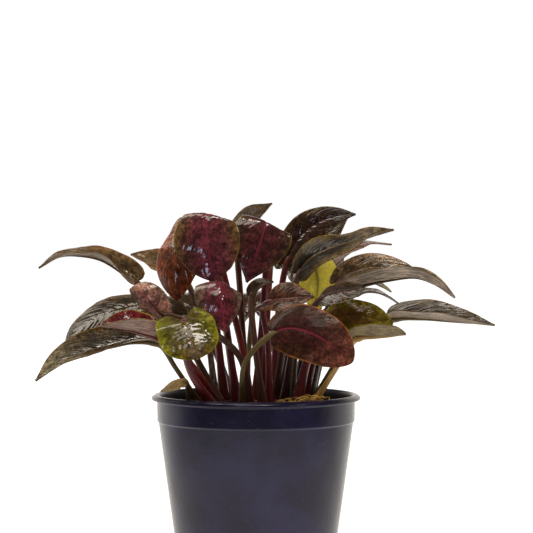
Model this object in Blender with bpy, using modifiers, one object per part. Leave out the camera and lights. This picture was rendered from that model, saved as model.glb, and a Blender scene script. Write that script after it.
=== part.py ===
"""A lagenandra in its nursery pot.

Every leaf is one piece, its blade grown together with its stalk. The leaves stand on short creeping
rhizomes, which lie on the growing medium in a plain round pot. Lengths in the tables are millimetres;
the objects are built in metres, +Z up, with the origin at the middle of the pot's underside. The
photograph was taken from -Y.
"""
import math

import bmesh
import bpy
import numpy as np
from mathutils import Matrix

MM = 0.001
GAP = 0.3                   # left between pieces that touch

# The pot
POT_HEIGHT = 50.0
RIM_RADIUS = 27.5
LIP_HEIGHT = 1.4
WALL_RADIUS_TOP = 26.0      # outside, under the lip
WALL_RADIUS_BASE = 20.2
WALL = 1.0
FLOOR = 1.2
POT_SIDES = 32

# The growing medium and what lies on it
MEDIUM_TOP = 46.6
MEDIUM_EDGE_DROP = 0.7
RHIZOME_THICK = 1.7
RHIZOME_BOTTOM = MEDIUM_TOP + GAP
RHIZOME_TOP = RHIZOME_BOTTOM + RHIZOME_THICK
FOOT_Z = RHIZOME_TOP + GAP  # where every stalk is cut flat

# Leaves
BLADE_THICK = 0.6
BLADE_ROWS = 6
SHORT_BLADE = 16.0          # a shorter blade has one row less
BLADE_COLUMNS = 4
ROLLED_COLUMNS = 10          # across a blade with a rolled side
ROLLED = 90.0                # degrees of curl that count as rolled
TIGHTEST_ROLL = 0.9          # radius
STALK_FOOT_RADIUS = 1.5
STALK_TOP_RADIUS = 1.0
RIB_RADIUS = 0.45           # where the stalk ends under the blade
RIB_SHARE = 0.2             # of the blade's length
PATH_STEPS = 16             # between two given points of a path


def unit(v):
    """The vector, or each row of vectors, at length 1."""
    v = np.asarray(v, float)
    return v / np.linalg.norm(v, axis=-1, keepdims=True)


def leaned(degrees, sideways=0.0):
    """The direction a blade's upper side faces: up, leaned towards -Y."""
    a = math.radians(degrees)
    return (sideways, -math.sin(a), math.cos(a))


def leaf(name, foot, stalk, blade, half, face, fold=(5, 5), curl=(10, 10), lobes=(0.12, 0.12),
         twist=(0, 0), tip_fold=0, shoulder=0.45, widest=0.36, blunt=0.0, taper=0.5):
    """A leaf as its foot on the rhizome, points up its stalk, and points along its midrib to the tip.

    half is the blade's half-width and face the way its upper side looks at mid-length. fold lifts
    each side of the midrib and curl rolls each side down (degrees, left and right), lobes reach back
    past the stalk (share of the length), twist turns the base and the tip about the midrib, tip_fold
    closes the tip, shoulder is its width where the stalk joins (share of the widest), widest is the
    share of the length where it is broadest, blunt rounds the tip and a higher taper makes the
    blade widen more slowly from its base.
    """
    return dict(name=name, foot=foot, stalk=stalk, blade=blade, half=half, face=face, fold=fold, curl=curl,
                lobes=lobes, twist=twist, tip_fold=tip_fold, shoulder=shoulder, widest=widest,
                blunt=blunt, taper=taper)


LEAVES = [
    # Left of the pot, low to high.
    leaf("leaf_left_low", (-15.2, -6.5), [(-20.8, -8, 57.4)],
         [(-25.4, -9, 64), (-31.5, -10.5, 64.6), (-37.2, -12.5, 63.4), (-44, -14, 61.8),
          (-50.6, -16, 59.2), (-56.3, -18, 54.8)],
         6.8, leaned(24), fold=(24, 24), curl=(4, -14), twist=(12, -10)),
    leaf("leaf_left_broad", (-13.6, -0.4), [(-20, 2, 63)],
         [(-28.6, 3, 73.2), (-34.5, 2.5, 72.8), (-40.5, 1.5, 70.8), (-46, 0, 67.4), (-50, -1, 63.6)],
         7.2, leaned(26, -0.15), fold=(-14, 4), curl=(8, 8), blunt=0.6),
    leaf("leaf_left_red_margin", (-10.5, -11.5), [(-15, -15.5, 57)],
         [(-22.5, -18.5, 64.6), (-27, -19.8, 66.6), (-33.7, -22.3, 68.4), (-39.6, -24, 69.2)],
         6.0, leaned(4), fold=(40, 58), curl=(4, -6), lobes=(0.12, 0.05), twist=(18, -10), widest=0.42,
         blunt=0.3),
    leaf("leaf_left_mauve", (-1.6, -11.6), [(-4, -12.8, 60.3), (-10.8, -13.8, 66.8), (-18, -14.3, 70)],
         [(-24, -15.7, 72.2), (-26.6, -16, 74.8), (-28.8, -15.5, 76.8), (-32.4, -13.5, 78)],
         4.3, (-0.2, -0.85, 0.5), fold=(-42, 2), curl=(20, 16), lobes=(0.05, 0.16), blunt=0.9),
    leaf("leaf_left_arching", (-10, -2.6), [(-20, -4, 67)],
         [(-31.4, -4, 79.8), (-35.2, -5, 82.8), (-40.2, -7, 85.7), (-45, -9, 86.7),
          (-50.5, -11, 86.5), (-56, -12, 83.5)],
         6.2, leaned(14), fold=(26, 14), curl=(6, 6), lobes=(0, 0.03), twist=(-42, 4), widest=0.28,
         shoulder=0.42),
    leaf("leaf_left_upper_back", (-11, 8.5), [(-13, 12.5, 63), (-16.5, 15, 74)],
         [(-20, 16.5, 80.5), (-27.2, 17.5, 84.5), (-34, 17.5, 86.4)],
         7.2, leaned(30), fold=(22, 4), curl=(10, 10)),
    leaf("leaf_left_hanging", (-8.5, 4), [(-11, 7, 72)],
         [(-13.6, 5, 94), (-15.8, 1.5, 96.6), (-18.8, -2, 91.5), (-21.5, -4.5, 83.5), (-20.7, -5, 74.8)],
         7.0, (-0.35, -0.9, 0.2), fold=(-20, -20), widest=0.6, blunt=0.5, taper=1.0),
    # The middle of the plant.
    leaf("leaf_crimson_left", (-1.8, -4), [(-3.2, -3.5, 60.3), (-6, -2.5, 72)],
         [(-11.8, -6, 95), (-12.5, -9, 97.4), (-12.7, -11.5, 92.5), (-10.8, -12.5, 80.2)],
         8.7, (0, -1, 0.2), fold=(-4, -4), curl=(12, 12), shoulder=0.25, widest=0.5, blunt=0.7, taper=1.3),
    leaf("leaf_crimson_right", (0, 0.5), [(2, 4, 74)],
         [(3.0, 0, 93), (2.7, -3, 95.2), (1.4, -5.5, 90.7), (-2.4, -7, 79.6)],
         8.0, (0.1, -1, 0.2), fold=(-2, -2), curl=(12, 12),
         lobes=(0.02, 0.02), shoulder=0.35, widest=0.4, blunt=-0.2, taper=1.0),
    leaf("leaf_top_back", (-2.5, 7), [(-4, 11, 72)],
         [(-4.5, 14, 91), (-1, 16, 97.2), (4.2, 18, 100.2)],
         4.8, (-0.5, -0.6, 0.65), fold=(8, 8), curl=(5, 5)),
    leaf("leaf_centre_folded", (-5, -8.5), [(-7, -10, 64)],
         [(-9, -13, 78.4), (-9.2, -16, 80.2), (-8.9, -20, 76.5), (-7.8, -20.8, 67.4)],
         6.8, (0.05, -1, 0.4), fold=(-30, -4), curl=(8, 14), widest=0.48, blunt=0.1, taper=0.9),
    leaf("leaf_front_green", (-11.5, -16.5), [(-17, -21, 58.5), (-18.2, -26.4, 69.8)],
         [(-17.8, -29.3, 70.6), (-16.3, -33.2, 66.4), (-14.4, -37.2, 61.7)],
         7.7, (0, -0.72, 0.69), fold=(-3, -3), curl=(12, 12), lobes=(0.66, 0.48), shoulder=0.85,
         widest=0.4, blunt=0.7),
    leaf("leaf_young_hooked", (1.8, -15), [(-0.2, -15.5, 64)],
         [(-0.9, -14.5, 77), (1.2, -14, 79), (4.5, -12.5, 80)],
         2.2, (0, -0.5, 0.85), fold=(35, 35), curl=(0, 0)),
    leaf("leaf_front_crimson", (-3.5, -18.5), [(-2.6, -22.5, 59.8)],
         [(4.4, -25, 67.3), (9, -27, 68.7), (15, -29.5, 67.1), (20, -31, 63.8), (24.2, -32, 60.6)],
         7.4, (-0.05, -0.93, 0.38), fold=(-2, -2), curl=(12, 12), lobes=(0.05, 0.05), blunt=0.9),
    leaf("leaf_brown_folded", (3.5, -9), [(3, -10, 64), (1.9, -11.2, 73.4)],
         [(3.8, -12, 75), (9, -13.4, 75.7), (15, -14, 76.2)],
         5.0, leaned(22), fold=(42, -4), curl=(10, 16), lobes=(0, 0.4), shoulder=0.25, taper=0.6),
    # Right of the pot, high to low.
    leaf("leaf_right_top", (4.5, 4.5), [(6, 6.5, 72)],
         [(8.5, 5.5, 85.5), (12.2, 4.5, 91.8), (17.4, 3.2, 95.5), (22, 2.5, 96.9), (26.3, 2, 97.3)],
         5.1, (-0.25, -0.8, 0.5), fold=(20, 2), curl=(14, 14)),
    leaf("leaf_right_top_back", (7, 10), [(10, 12, 68)],
         [(13.2, 12, 82), (17.5, 11, 90), (24.5, 10, 96.5)],
         5.0, (-0.5, -0.7, 0.5), fold=(-5, -5), curl=(5, 5)),
    leaf("leaf_right_upper", (5, 0.5), [(7.5, -1, 66)],
         [(11.5, -4, 82.3), (14.5, -5.5, 86), (20, -6.5, 88.6), (27, -7, 90.7), (35.8, -8, 93.3)],
         6.4, leaned(24, -0.2), fold=(10, 10), curl=(14, 10), lobes=(0.06, 0.06), twist=(24, 0), tip_fold=36),
    leaf("leaf_right_sliver_back", (10.5, 10), [(14, 13, 66)],
         [(21, 18.5, 84.5), (29, 22, 89.2), (37, 25, 89)], 5.0, leaned(4), fold=(4, 4), curl=(5, 5)),
    leaf("leaf_right_long_upper", (12.6, 0.5), [(17.2, -1.4, 66.5)],
         [(22.4, -1.8, 80.2), (26.4, -2.2, 82.4), (32, -2.8, 83.3), (38.5, -3.6, 82.2), (45, -4.6, 80.4)],
         4.7, leaned(30, 0.05), fold=(22, 18), curl=(-4, 12), twist=(6, 0)),
    leaf("leaf_right_long", (10.5, -3.5), [(14.5, -7, 64)],
         [(21.5, -9.8, 76.8), (26.6, -11.8, 79), (34.2, -13.5, 80.6), (41.2, -15, 81.2), (46, -16, 79.4),
          (51, -16.8, 76)],
         4.8, leaned(5, 0.1), fold=(36, 46), curl=(8, 6), lobes=(0.02, 0.02), widest=0.42, blunt=0.5),
    leaf("leaf_right_round", (7.3, -5.2), [(10, -8.1, 64)],
         [(17.1, -16.7, 76.1), (21.5, -18.4, 77.6), (27.6, -19.7, 78.6)],
         4.4, leaned(38), fold=(-6, 0), curl=(10, 9), lobes=(0.1, 0.1), blunt=0.9),
    leaf("leaf_lime_behind", (9.5, 3.5), [(11, 6, 66)],
         [(14, 6.4, 84.3), (15.8, 4.6, 82.6), (16.4, 3.2, 78.2), (15.2, 2.6, 72)],
         5.4, (-0.12, -1, 0.2), fold=(0, 0), blunt=0.6),
    leaf("leaf_right_olive", (11, -8.5), [(14, -10, 61)],
         [(18.6, -12.6, 69.8), (24, -13.6, 71.2), (30, -14, 70.7), (35.3, -14.2, 69.2)],
         4.8, (0.1, -0.9, 0.42), fold=(0, 0), lobes=(0, 0.04), blunt=0.5),
    leaf("leaf_right_silver", (15.3, -11), [(20, -15, 56.8)],
         [(25.8, -20, 66), (30, -21.5, 66.4), (34.3, -22.5, 66.6), (38, -23, 67)],
         4.8, leaned(-8, 0.1), fold=(18, 36), curl=(8, 8), widest=0.5, blunt=0.9),
    leaf("leaf_far_right", (15.5, -2), [(24, 1, 62)],
         [(36, 2, 69.8), (43, 0, 70.1), (52, -2, 69.3), (62.5, -4, 68.3)],
         5.8, leaned(28), fold=(30, 53), curl=(8, 10), lobes=(0.04, 0.1)),
    leaf("leaf_right_dark_back", (14, 4.5), [(19, 8, 65)],
         [(26.5, 10, 76.2), (32.5, 11, 76.6), (38.8, 12, 73)], 5.0, leaned(5), fold=(4, 4), curl=(5, 5)),
    leaf("leaf_right_pale_back", (15, 11.5), [(20, 17, 65)],
         [(27, 21, 78.2), (32, 23, 78.7), (37, 25.5, 76)], 4.2, leaned(2), fold=(4, 4), curl=(5, 5)),
    leaf("leaf_old_at_rim", (-17.5, -12.5), [],
         [(-18.2, -13.2, 54.4), (-21.4, -12, 54.2), (-24.7, -9.2, 51.4)],
         2.8, leaned(30), fold=(-20, -20), curl=(40, 40)),
    # The back, which the photograph does not show.
    leaf("leaf_back_left_low", (-6.8, 9.5), [(-11, 15.5, 60)],
         [(-18, 19, 70), (-22, 26, 74.3), (-26, 33.5, 73.5), (-29.5, 41, 67.5)],
         6.8, (-0.3, 0.3, 0.9), fold=(8, 8), curl=(20, 20), twist=(-8, 8)),
    leaf("leaf_back_left_high", (-5.5, 14), [(-8.5, 18, 68)],
         [(-11, 24, 84), (-13, 30, 88), (-15.5, 38, 87.5), (-18, 45, 82.5)],
         6.6, (-0.1, 0.2, 0.95), fold=(4, 10), curl=(20, 20), blunt=0.4),
    leaf("leaf_back_centre_low", (-2.6, 17.5), [(-2, 22, 61)],
         [(-1, 27, 71.5), (-1, 35, 75), (-2, 45, 73.5), (-3.5, 53.5, 66.5)],
         7.0, (-0.2, 0.3, 0.95), fold=(8, 8), curl=(20, 20)),
    leaf("leaf_back_centre_high", (1.5, 12.5), [(3, 18, 70)],
         [(4, 25, 85), (5, 31.5, 90), (7.5, 39, 91), (10.5, 46, 88)],
         6.2, (0.3, 0.2, 0.9), fold=(12, 4), curl=(15, 15), twist=(8, -12)),
    leaf("leaf_back_centre_short", (1.2, 18.2), [(3.6, 22.5, 56)],
         [(6.2, 28, 61), (8.2, 34, 64.5), (10.2, 41, 64), (12, 47, 60)],
         5.6, (-0.1, 0.2, 0.95), fold=(6, 12), curl=(20, 20), blunt=0.3),
    leaf("leaf_back_right_high", (6.4, 15), [(9, 19, 66)],
         [(13, 25, 81), (16, 32, 85.5), (20, 40, 85), (24, 47.5, 80.5)],
         6.8, (0.1, 0.2, 0.95), fold=(8, 8), curl=(20, 20), twist=(0, 10)),
    leaf("leaf_back_right_low", (7, 19), [(13, 22, 58)],
         [(20, 25, 67.5), (24.5, 31, 70.5), (29, 37.5, 69.5), (33, 44.5, 63.5)],
         6.4, (0.3, 0.3, 0.9), fold=(8, 8), curl=(20, 20)),
    leaf("leaf_back_far_left", (-13.5, 4), [(-18, 9, 58)],
         [(-25, 15, 65.5), (-31, 21.5, 69.5), (-38, 28.5, 68.5), (-45, 35, 62.5)],
         6.8, (-0.3, 0.2, 0.9), fold=(8, 8), curl=(20, 20)),
    leaf("leaf_back_far_right", (11, 14), [(15, 20, 64)],
         [(19.2, 26.6, 77), (25, 32, 81.5), (31, 37, 83.2), (37, 42, 81.2)],
         6.0, (0.1, 0.1, 0.95), fold=(8, 8), curl=(15, 15)),
]

# Colour (linear) and roughness of the materials
COLOURS = {
    "olive": ((0.075, 0.055, 0.022), 0.35),
    "crimson": ((0.095, 0.012, 0.022), 0.35),
    "brown": ((0.090, 0.035, 0.018), 0.35),
    "mauve": ((0.150, 0.070, 0.075), 0.35),
    "green": ((0.110, 0.130, 0.018), 0.35),
    "lime": ((0.330, 0.360, 0.030), 0.40),
    "rhizome": ((0.060, 0.022, 0.014), 0.70),
    "medium": ((0.012, 0.009, 0.007), 0.95),
    "moss": ((0.090, 0.085, 0.018), 0.95),
    "pot": ((0.012, 0.014, 0.032), 0.40),
}
LEAF_COLOURS = {
    "leaf_left_red_margin": "mauve",
    "leaf_left_mauve": "mauve",
    "leaf_left_hanging": "brown",
    "leaf_crimson_left": "crimson",
    "leaf_crimson_right": "crimson",
    "leaf_centre_folded": "crimson",
    "leaf_front_green": "green",
    "leaf_young_hooked": "brown",
    "leaf_front_crimson": "crimson",
    "leaf_brown_folded": "brown",
    "leaf_lime_behind": "lime",
    "leaf_right_olive": "green",
    "leaf_right_silver": "mauve",
    "leaf_old_at_rim": "brown",
}

# Which leaves grow from which rhizome
RHIZOMES = {
    "rhizome_left": ("leaf_left_low", "leaf_left_broad", "leaf_left_red_margin", "leaf_left_arching",
                     "leaf_front_green", "leaf_old_at_rim"),
    "rhizome_centre": ("leaf_left_mauve", "leaf_crimson_left", "leaf_crimson_right", "leaf_centre_folded",
                       "leaf_young_hooked", "leaf_front_crimson", "leaf_brown_folded"),
    "rhizome_right": ("leaf_right_top", "leaf_right_upper", "leaf_right_long_upper", "leaf_right_long",
                      "leaf_right_round",
                      "leaf_lime_behind", "leaf_right_olive", "leaf_right_silver", "leaf_far_right",
                      "leaf_right_dark_back"),
    "rhizome_back_left": ("leaf_left_upper_back", "leaf_left_hanging", "leaf_top_back",
                          "leaf_back_left_low", "leaf_back_left_high",
                          "leaf_back_centre_low", "leaf_back_centre_high", "leaf_back_centre_short",
                          "leaf_back_far_left"),
    "rhizome_back_right": ("leaf_right_top_back", "leaf_right_sliver_back", "leaf_right_pale_back",
                           "leaf_back_right_high", "leaf_back_right_low", "leaf_back_far_right"),
}
RHIZOME_SPREAD_BOTTOM = 2.2
RHIZOME_SPREAD_TOP = 1.8

# A tuft of moss on the medium, in front on the right
MOSS_AT = (12.8, -17.4)
MOSS_SIZE = (12.0, 4.4, 4.2)


def smooth_path(points):
    """Dense points on a smooth curve through the given points."""
    p = np.array(points, float)
    gap = np.sqrt(np.linalg.norm(np.diff(p, axis=0), axis=1))[:, None]
    slope = np.diff(p, axis=0) / gap
    inner = (slope[:-1] * gap[1:] + slope[1:] * gap[:-1]) / (gap[:-1] + gap[1:])
    tangent = np.vstack([slope[:1], inner, slope[-1:]])
    t = np.linspace(0, 1, PATH_STEPS, endpoint=False)[:, None]
    path = []
    for i in range(len(p) - 1):
        m = tangent[i] * gap[i]
        n = tangent[i + 1] * gap[i]
        path.append(p[i] * (2 * t**3 - 3 * t**2 + 1) + m * (t**3 - 2 * t**2 + t)
                    + p[i + 1] * (3 * t**2 - 2 * t**3) + n * (t**3 - t**2))
    return np.vstack(path + [p[-1:]])


def path_length(path):
    return np.linalg.norm(np.diff(path, axis=0), axis=1).sum()


def at_lengths(path, where):
    """Points at the given distances along a dense path, which runs on straight before its start."""
    run = np.concatenate([[0], np.cumsum(np.linalg.norm(np.diff(path, axis=0), axis=1))])
    where = np.asarray(where, float)
    found = np.stack([np.interp(where, run, path[:, k]) for k in range(3)], axis=-1)
    return found + np.minimum(where, 0)[..., None] * unit(path[1] - path[0])


def leaf_paths(spec):
    """The stalk's and the midrib's dense paths."""
    stalk = [(*spec["foot"], FOOT_Z)] + spec["stalk"]
    whole = smooth_path(stalk + spec["blade"])
    cut = PATH_STEPS * len(stalk)
    return whole[:cut + 1], whole[cut:]


def half_width(spec, s):
    """The blade's half-width at share s of its length."""
    start, tip, widest, blunt = spec["shoulder"], 0.03, spec["widest"], spec["blunt"]
    near = start + (1 - start) * np.clip(1 - (1 - s / widest)**2, 0, 1)**spec["taper"]
    x = np.clip((s - widest) / (1 - widest), 0, 1)
    far = tip + (1 - tip) * (1 - x**(1.9 + 0.5 * blunt))**(1.15 - 0.55 * blunt)
    return spec["half"] * np.where(s < widest, near, far)


def midrib_stations(spec, midrib, s):
    """Centre, upper normal and side direction of the blade at shares s of its length."""
    steps = 61
    middle = 30
    share = np.linspace(0, 1, steps)
    length = path_length(midrib)
    tangent = unit(np.gradient(at_lengths(midrib, share * length), axis=0))
    normal = np.zeros_like(tangent)
    face = np.array(spec["face"], float)
    normal[middle] = unit(face - np.dot(face, tangent[middle]) * tangent[middle])
    for k in range(middle + 1, steps):
        normal[k] = unit(normal[k - 1] - np.dot(normal[k - 1], tangent[k]) * tangent[k])
    for k in range(middle - 1, -1, -1):
        normal[k] = unit(normal[k + 1] - np.dot(normal[k + 1], tangent[k]) * tangent[k])
    base, tip = spec["twist"]
    turn = np.radians(np.where(share < 0.5, (1 - 2 * share) * base, (2 * share - 1) * tip))[:, None]
    normal = normal * np.cos(turn) + np.cross(tangent, normal) * np.sin(turn)
    inside = np.clip(s, 0, 1)
    along = [np.interp(inside, share, tangent[:, k]) for k in range(3)]
    upward = [np.interp(inside, share, normal[:, k]) for k in range(3)]
    t = unit(np.stack(along, -1))
    n = unit(np.stack(upward, -1))
    centre = at_lengths(midrib, inside * length) + np.minimum(s, 0)[..., None] * length * tangent[0]
    return centre, n, np.cross(t, n)


def blade_surface(spec, midrib, s, u):
    """Points of the blade's middle surface: s runs from base to tip, u from margin to margin, -1 to 1."""
    across_share = np.abs(u)
    left = u < 0
    lobe = np.where(left, spec["lobes"][0], spec["lobes"][1])
    back = lobe * np.sin(0.75 * math.pi * across_share**1.2) * (1 - s)**3
    centre, normal, side = midrib_stations(spec, midrib, s - back)
    width = half_width(spec, s)
    close = np.clip((s - 0.55) / 0.45, 0, 1)
    close = close**2 * (3 - 2 * close)
    fold = np.radians(np.where(left, spec["fold"][0], spec["fold"][1]) + spec["tip_fold"] * close)
    curl = np.radians(np.where(left, spec["curl"][0], spec["curl"][1])) + 1e-5
    curl = np.clip(curl, -width / TIGHTEST_ROLL, width / TIGHTEST_ROLL)
    across = (np.sin(fold) - np.sin(fold - curl * across_share)) / curl
    rise = (np.cos(fold - curl * across_share) - np.cos(fold)) / curl
    return centre + side * (np.sign(u) * width * across)[..., None] + normal * (width * rise)[..., None]


def new_object(name, mesh, material, collection):
    obj = bpy.data.objects.new(name, mesh)
    collection.objects.link(obj)
    if material:
        mesh.materials.append(material)
    return obj


def stalk_mesh(spec, stalk, midrib):
    """The stalk and the midrib under the blade, as a closed tube with a flat foot."""
    length = path_length(stalk)
    centre, normal, side = midrib_stations(spec, midrib, np.array([0.0, RIB_SHARE]))
    below = centre - normal * 0.4 * STALK_TOP_RADIUS
    steps = 4
    points = list(at_lengths(stalk, np.linspace(-1.2, length * (1 - 1 / steps), steps)))
    slimmer = STALK_TOP_RADIUS - STALK_FOOT_RADIUS
    radii = [STALK_FOOT_RADIUS + slimmer * (k / steps)**0.7 for k in range(steps)]
    points += list(below)
    radii += [STALK_TOP_RADIUS * 0.9, RIB_RADIUS]
    curve = bpy.data.curves.new(spec["name"] + "_stalk", "CURVE")
    curve.dimensions = "3D"
    curve.bevel_depth = MM
    curve.bevel_resolution = 1
    curve.use_fill_caps = True
    spline = curve.splines.new("POLY")
    spline.points.add(len(points) - 1)
    for point, place, radius in zip(spline.points, points, radii):
        point.co = (*(place * MM), 1)
        point.radius = radius
    guide = bpy.data.objects.new(spec["name"] + "_guide", curve)
    bpy.context.scene.collection.objects.link(guide)
    bpy.context.view_layer.update()
    mesh = bpy.data.meshes.new_from_object(guide.evaluated_get(bpy.context.evaluated_depsgraph_get()))
    bpy.data.objects.remove(guide)
    bpy.data.curves.remove(curve)
    bm = bmesh.new()
    bm.from_mesh(mesh)
    bmesh.ops.remove_doubles(bm, verts=bm.verts, dist=0.00001)
    bmesh.ops.bisect_plane(bm, geom=bm.verts[:] + bm.edges[:] + bm.faces[:], plane_co=(0, 0, FOOT_Z * MM),
                           plane_no=(0, 0, -1), clear_outer=True)
    bmesh.ops.holes_fill(bm, edges=[e for e in bm.edges if e.is_boundary], sides=0)
    bmesh.ops.recalc_face_normals(bm, faces=bm.faces)
    bm.to_mesh(mesh)
    bm.free()
    mesh.name = spec["name"] + "_stalk"
    return mesh


def build_leaf(spec, material, parts, cutters):
    """A blade on a grid, thickened, with its stalk joined on."""
    stalk, midrib = leaf_paths(spec)
    bm = bmesh.new()
    rows = BLADE_ROWS if path_length(midrib) > SHORT_BLADE else BLADE_ROWS - 1
    columns = ROLLED_COLUMNS if max(abs(c) for c in spec["curl"]) > ROLLED else BLADE_COLUMNS
    bmesh.ops.create_grid(bm, x_segments=columns, y_segments=rows, size=1)
    u = np.array([v.co.x for v in bm.verts])
    s = (np.array([v.co.y for v in bm.verts]) + 1) / 2
    places = blade_surface(spec, midrib, np.clip(s, 0, 1)**1.25, np.clip(u, -1, 1))
    for vert, place in zip(bm.verts, places):
        vert.co = place * MM
    mesh = bpy.data.meshes.new(spec["name"])
    bm.to_mesh(mesh)
    bm.free()
    mesh.shade_smooth()
    blade = new_object(spec["name"], mesh, material, parts)
    thick = blade.modifiers.new("Thickness", "SOLIDIFY")
    thick.thickness = BLADE_THICK * MM
    thick.offset = 0
    stem = new_object(spec["name"] + "_stalk", stalk_mesh(spec, stalk, midrib), material, cutters)
    stem.hide_render = True
    stem.display_type = "WIRE"
    join = blade.modifiers.new("Stalk", "BOOLEAN")
    join.operation = "UNION"
    join.solver = "EXACT"
    join.object = stem
    return blade


def turned(name, profile, sides, material, collection):
    """A solid of revolution about Z from (radius, height) points that run down its outer side."""
    mesh = bpy.data.meshes.new(name)
    bm = bmesh.new()
    verts = [bm.verts.new((r * MM, 0, z * MM)) for r, z in profile]
    for a, b in zip(verts, verts[1:]):
        bm.edges.new((a, b))
    bm.to_mesh(mesh)
    bm.free()
    obj = new_object(name, mesh, material, collection)
    screw = obj.modifiers.new("Turn", "SCREW")
    screw.steps = sides
    screw.render_steps = sides
    screw.use_merge_vertices = True
    screw.merge_threshold = 0.00001
    screw.use_smooth_shade = False
    return obj


def build_pot(material, collection):
    wall_top = POT_HEIGHT - LIP_HEIGHT
    profile = [
        (RIM_RADIUS - 0.5, POT_HEIGHT),
        (RIM_RADIUS, POT_HEIGHT - 0.4),
        (RIM_RADIUS, wall_top),
        (WALL_RADIUS_TOP, wall_top - 0.2),
        (WALL_RADIUS_BASE, 0.8),
        (WALL_RADIUS_BASE - 0.6, 0),
        (0, 0),
        (0, FLOOR),
        (WALL_RADIUS_BASE - WALL, FLOOR),
        (WALL_RADIUS_TOP - WALL, wall_top),
        (RIM_RADIUS - 1.9, POT_HEIGHT),
        (RIM_RADIUS - 0.5, POT_HEIGHT),
    ]
    return turned("pot", profile, POT_SIDES, material, collection)


def inner_radius(z):
    """The pot's inner radius at height z."""
    share = (z - FLOOR) / (POT_HEIGHT - LIP_HEIGHT - FLOOR)
    return WALL_RADIUS_BASE - WALL + share * (WALL_RADIUS_TOP - WALL_RADIUS_BASE)


def build_medium(material, collection):
    bottom = FLOOR + GAP
    edge = MEDIUM_TOP - MEDIUM_EDGE_DROP
    profile = [
        (0, MEDIUM_TOP),
        (inner_radius(MEDIUM_TOP) - 2.0, MEDIUM_TOP),
        (inner_radius(edge) - GAP - 0.1, edge),
        (inner_radius(bottom) - GAP - 0.1, bottom),
        (0, bottom),
    ]
    return turned("growing_medium", profile, POT_SIDES, material, collection)


def build_rhizome(name, feet, material, collection):
    """A low lump under the feet that stand on it."""
    bm = bmesh.new()
    for x, y in feet:
        for radius, z in ((RHIZOME_SPREAD_BOTTOM, RHIZOME_BOTTOM), (RHIZOME_SPREAD_TOP, RHIZOME_TOP)):
            ring = bmesh.ops.create_circle(bm, segments=8, radius=radius * MM)["verts"]
            bmesh.ops.translate(bm, verts=ring, vec=(x * MM, y * MM, z * MM))
    hull = bmesh.ops.convex_hull(bm, input=bm.verts)
    inside = [g for g in hull["geom_interior"] if isinstance(g, bmesh.types.BMVert)]
    bmesh.ops.delete(bm, geom=inside, context="VERTS")
    bmesh.ops.recalc_face_normals(bm, faces=bm.faces)
    mesh = bpy.data.meshes.new(name)
    bm.to_mesh(mesh)
    bm.free()
    return new_object(name, mesh, material, collection)


def build_moss(material, collection):
    """A flattened ball, cut flat where it lies on the medium."""
    bm = bmesh.new()
    bmesh.ops.create_uvsphere(bm, u_segments=14, v_segments=8, radius=1)
    wide, deep, high = MOSS_SIZE
    for vert in bm.verts:
        vert.co.x *= wide / 2 * MM
        vert.co.y *= deep / 2 * MM
        vert.co.z *= high * MM
    angle = math.atan2(MOSS_AT[1], MOSS_AT[0]) + math.pi / 2
    bmesh.ops.rotate(bm, verts=bm.verts, matrix=Matrix.Rotation(angle, 3, "Z"))
    bmesh.ops.translate(bm, verts=bm.verts, vec=(MOSS_AT[0] * MM, MOSS_AT[1] * MM, (MEDIUM_TOP + GAP) * MM))
    bmesh.ops.bisect_plane(bm, geom=bm.verts[:] + bm.edges[:] + bm.faces[:],
                           plane_co=(0, 0, (MEDIUM_TOP + GAP) * MM), plane_no=(0, 0, -1), clear_outer=True)
    bmesh.ops.holes_fill(bm, edges=[e for e in bm.edges if e.is_boundary], sides=0)
    bmesh.ops.recalc_face_normals(bm, faces=bm.faces)
    mesh = bpy.data.meshes.new("moss_tuft")
    bm.to_mesh(mesh)
    bm.free()
    mesh.shade_smooth()
    mesh.set_sharp_from_angle(angle=math.radians(50))
    return new_object("moss_tuft", mesh, material, collection)


def make_materials():
    materials = {}
    for name, (colour, roughness) in COLOURS.items():
        material = bpy.data.materials.new("lagenandra_" + name)
        material.use_nodes = True
        shader = material.node_tree.nodes["Principled BSDF"]
        shader.inputs["Base Color"].default_value = (*colour, 1)
        shader.inputs["Roughness"].default_value = roughness
        shader.inputs["Metallic"].default_value = 0
        material.diffuse_color = (*colour, 1)
        materials[name] = material
    return materials


def own_copy(material, name):
    copy = material.copy()
    copy.name = name
    return copy


def main():
    for obj in list(bpy.data.objects):
        bpy.data.objects.remove(obj)
    parts = bpy.data.collections.new("lagenandra")
    cutters = bpy.data.collections.new("lagenandra_stalks_to_join")
    bpy.context.scene.collection.children.link(parts)
    bpy.context.scene.collection.children.link(cutters)
    materials = make_materials()

    build_pot(materials["pot"], parts)
    build_medium(materials["medium"], parts)
    build_moss(materials["moss"], parts)
    foot = {spec["name"]: spec["foot"] for spec in LEAVES}
    for name, leaves in RHIZOMES.items():
        build_rhizome(name, [foot[n] for n in leaves], own_copy(materials["rhizome"], name), parts)
    for spec in LEAVES:
        kind = LEAF_COLOURS.get(spec["name"], "olive")
        build_leaf(spec, own_copy(materials[kind], spec["name"]), parts, cutters)


main()
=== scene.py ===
"""The looks of a lagenandra in its nursery pot.

The leaf table is the one that the solids were built from, in millimetres, with each leaf's looks added:
every leaf is drawn here on the same curved surface with its veins, waves and thin margin, on a fluted
stalk. What touches the pot takes its places from the frame. The photograph was taken from -Y.
"""
import math
import zlib
from dataclasses import dataclass

import bmesh
import bpy
import numpy as np
from mathutils import Matrix, Vector, noise


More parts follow.
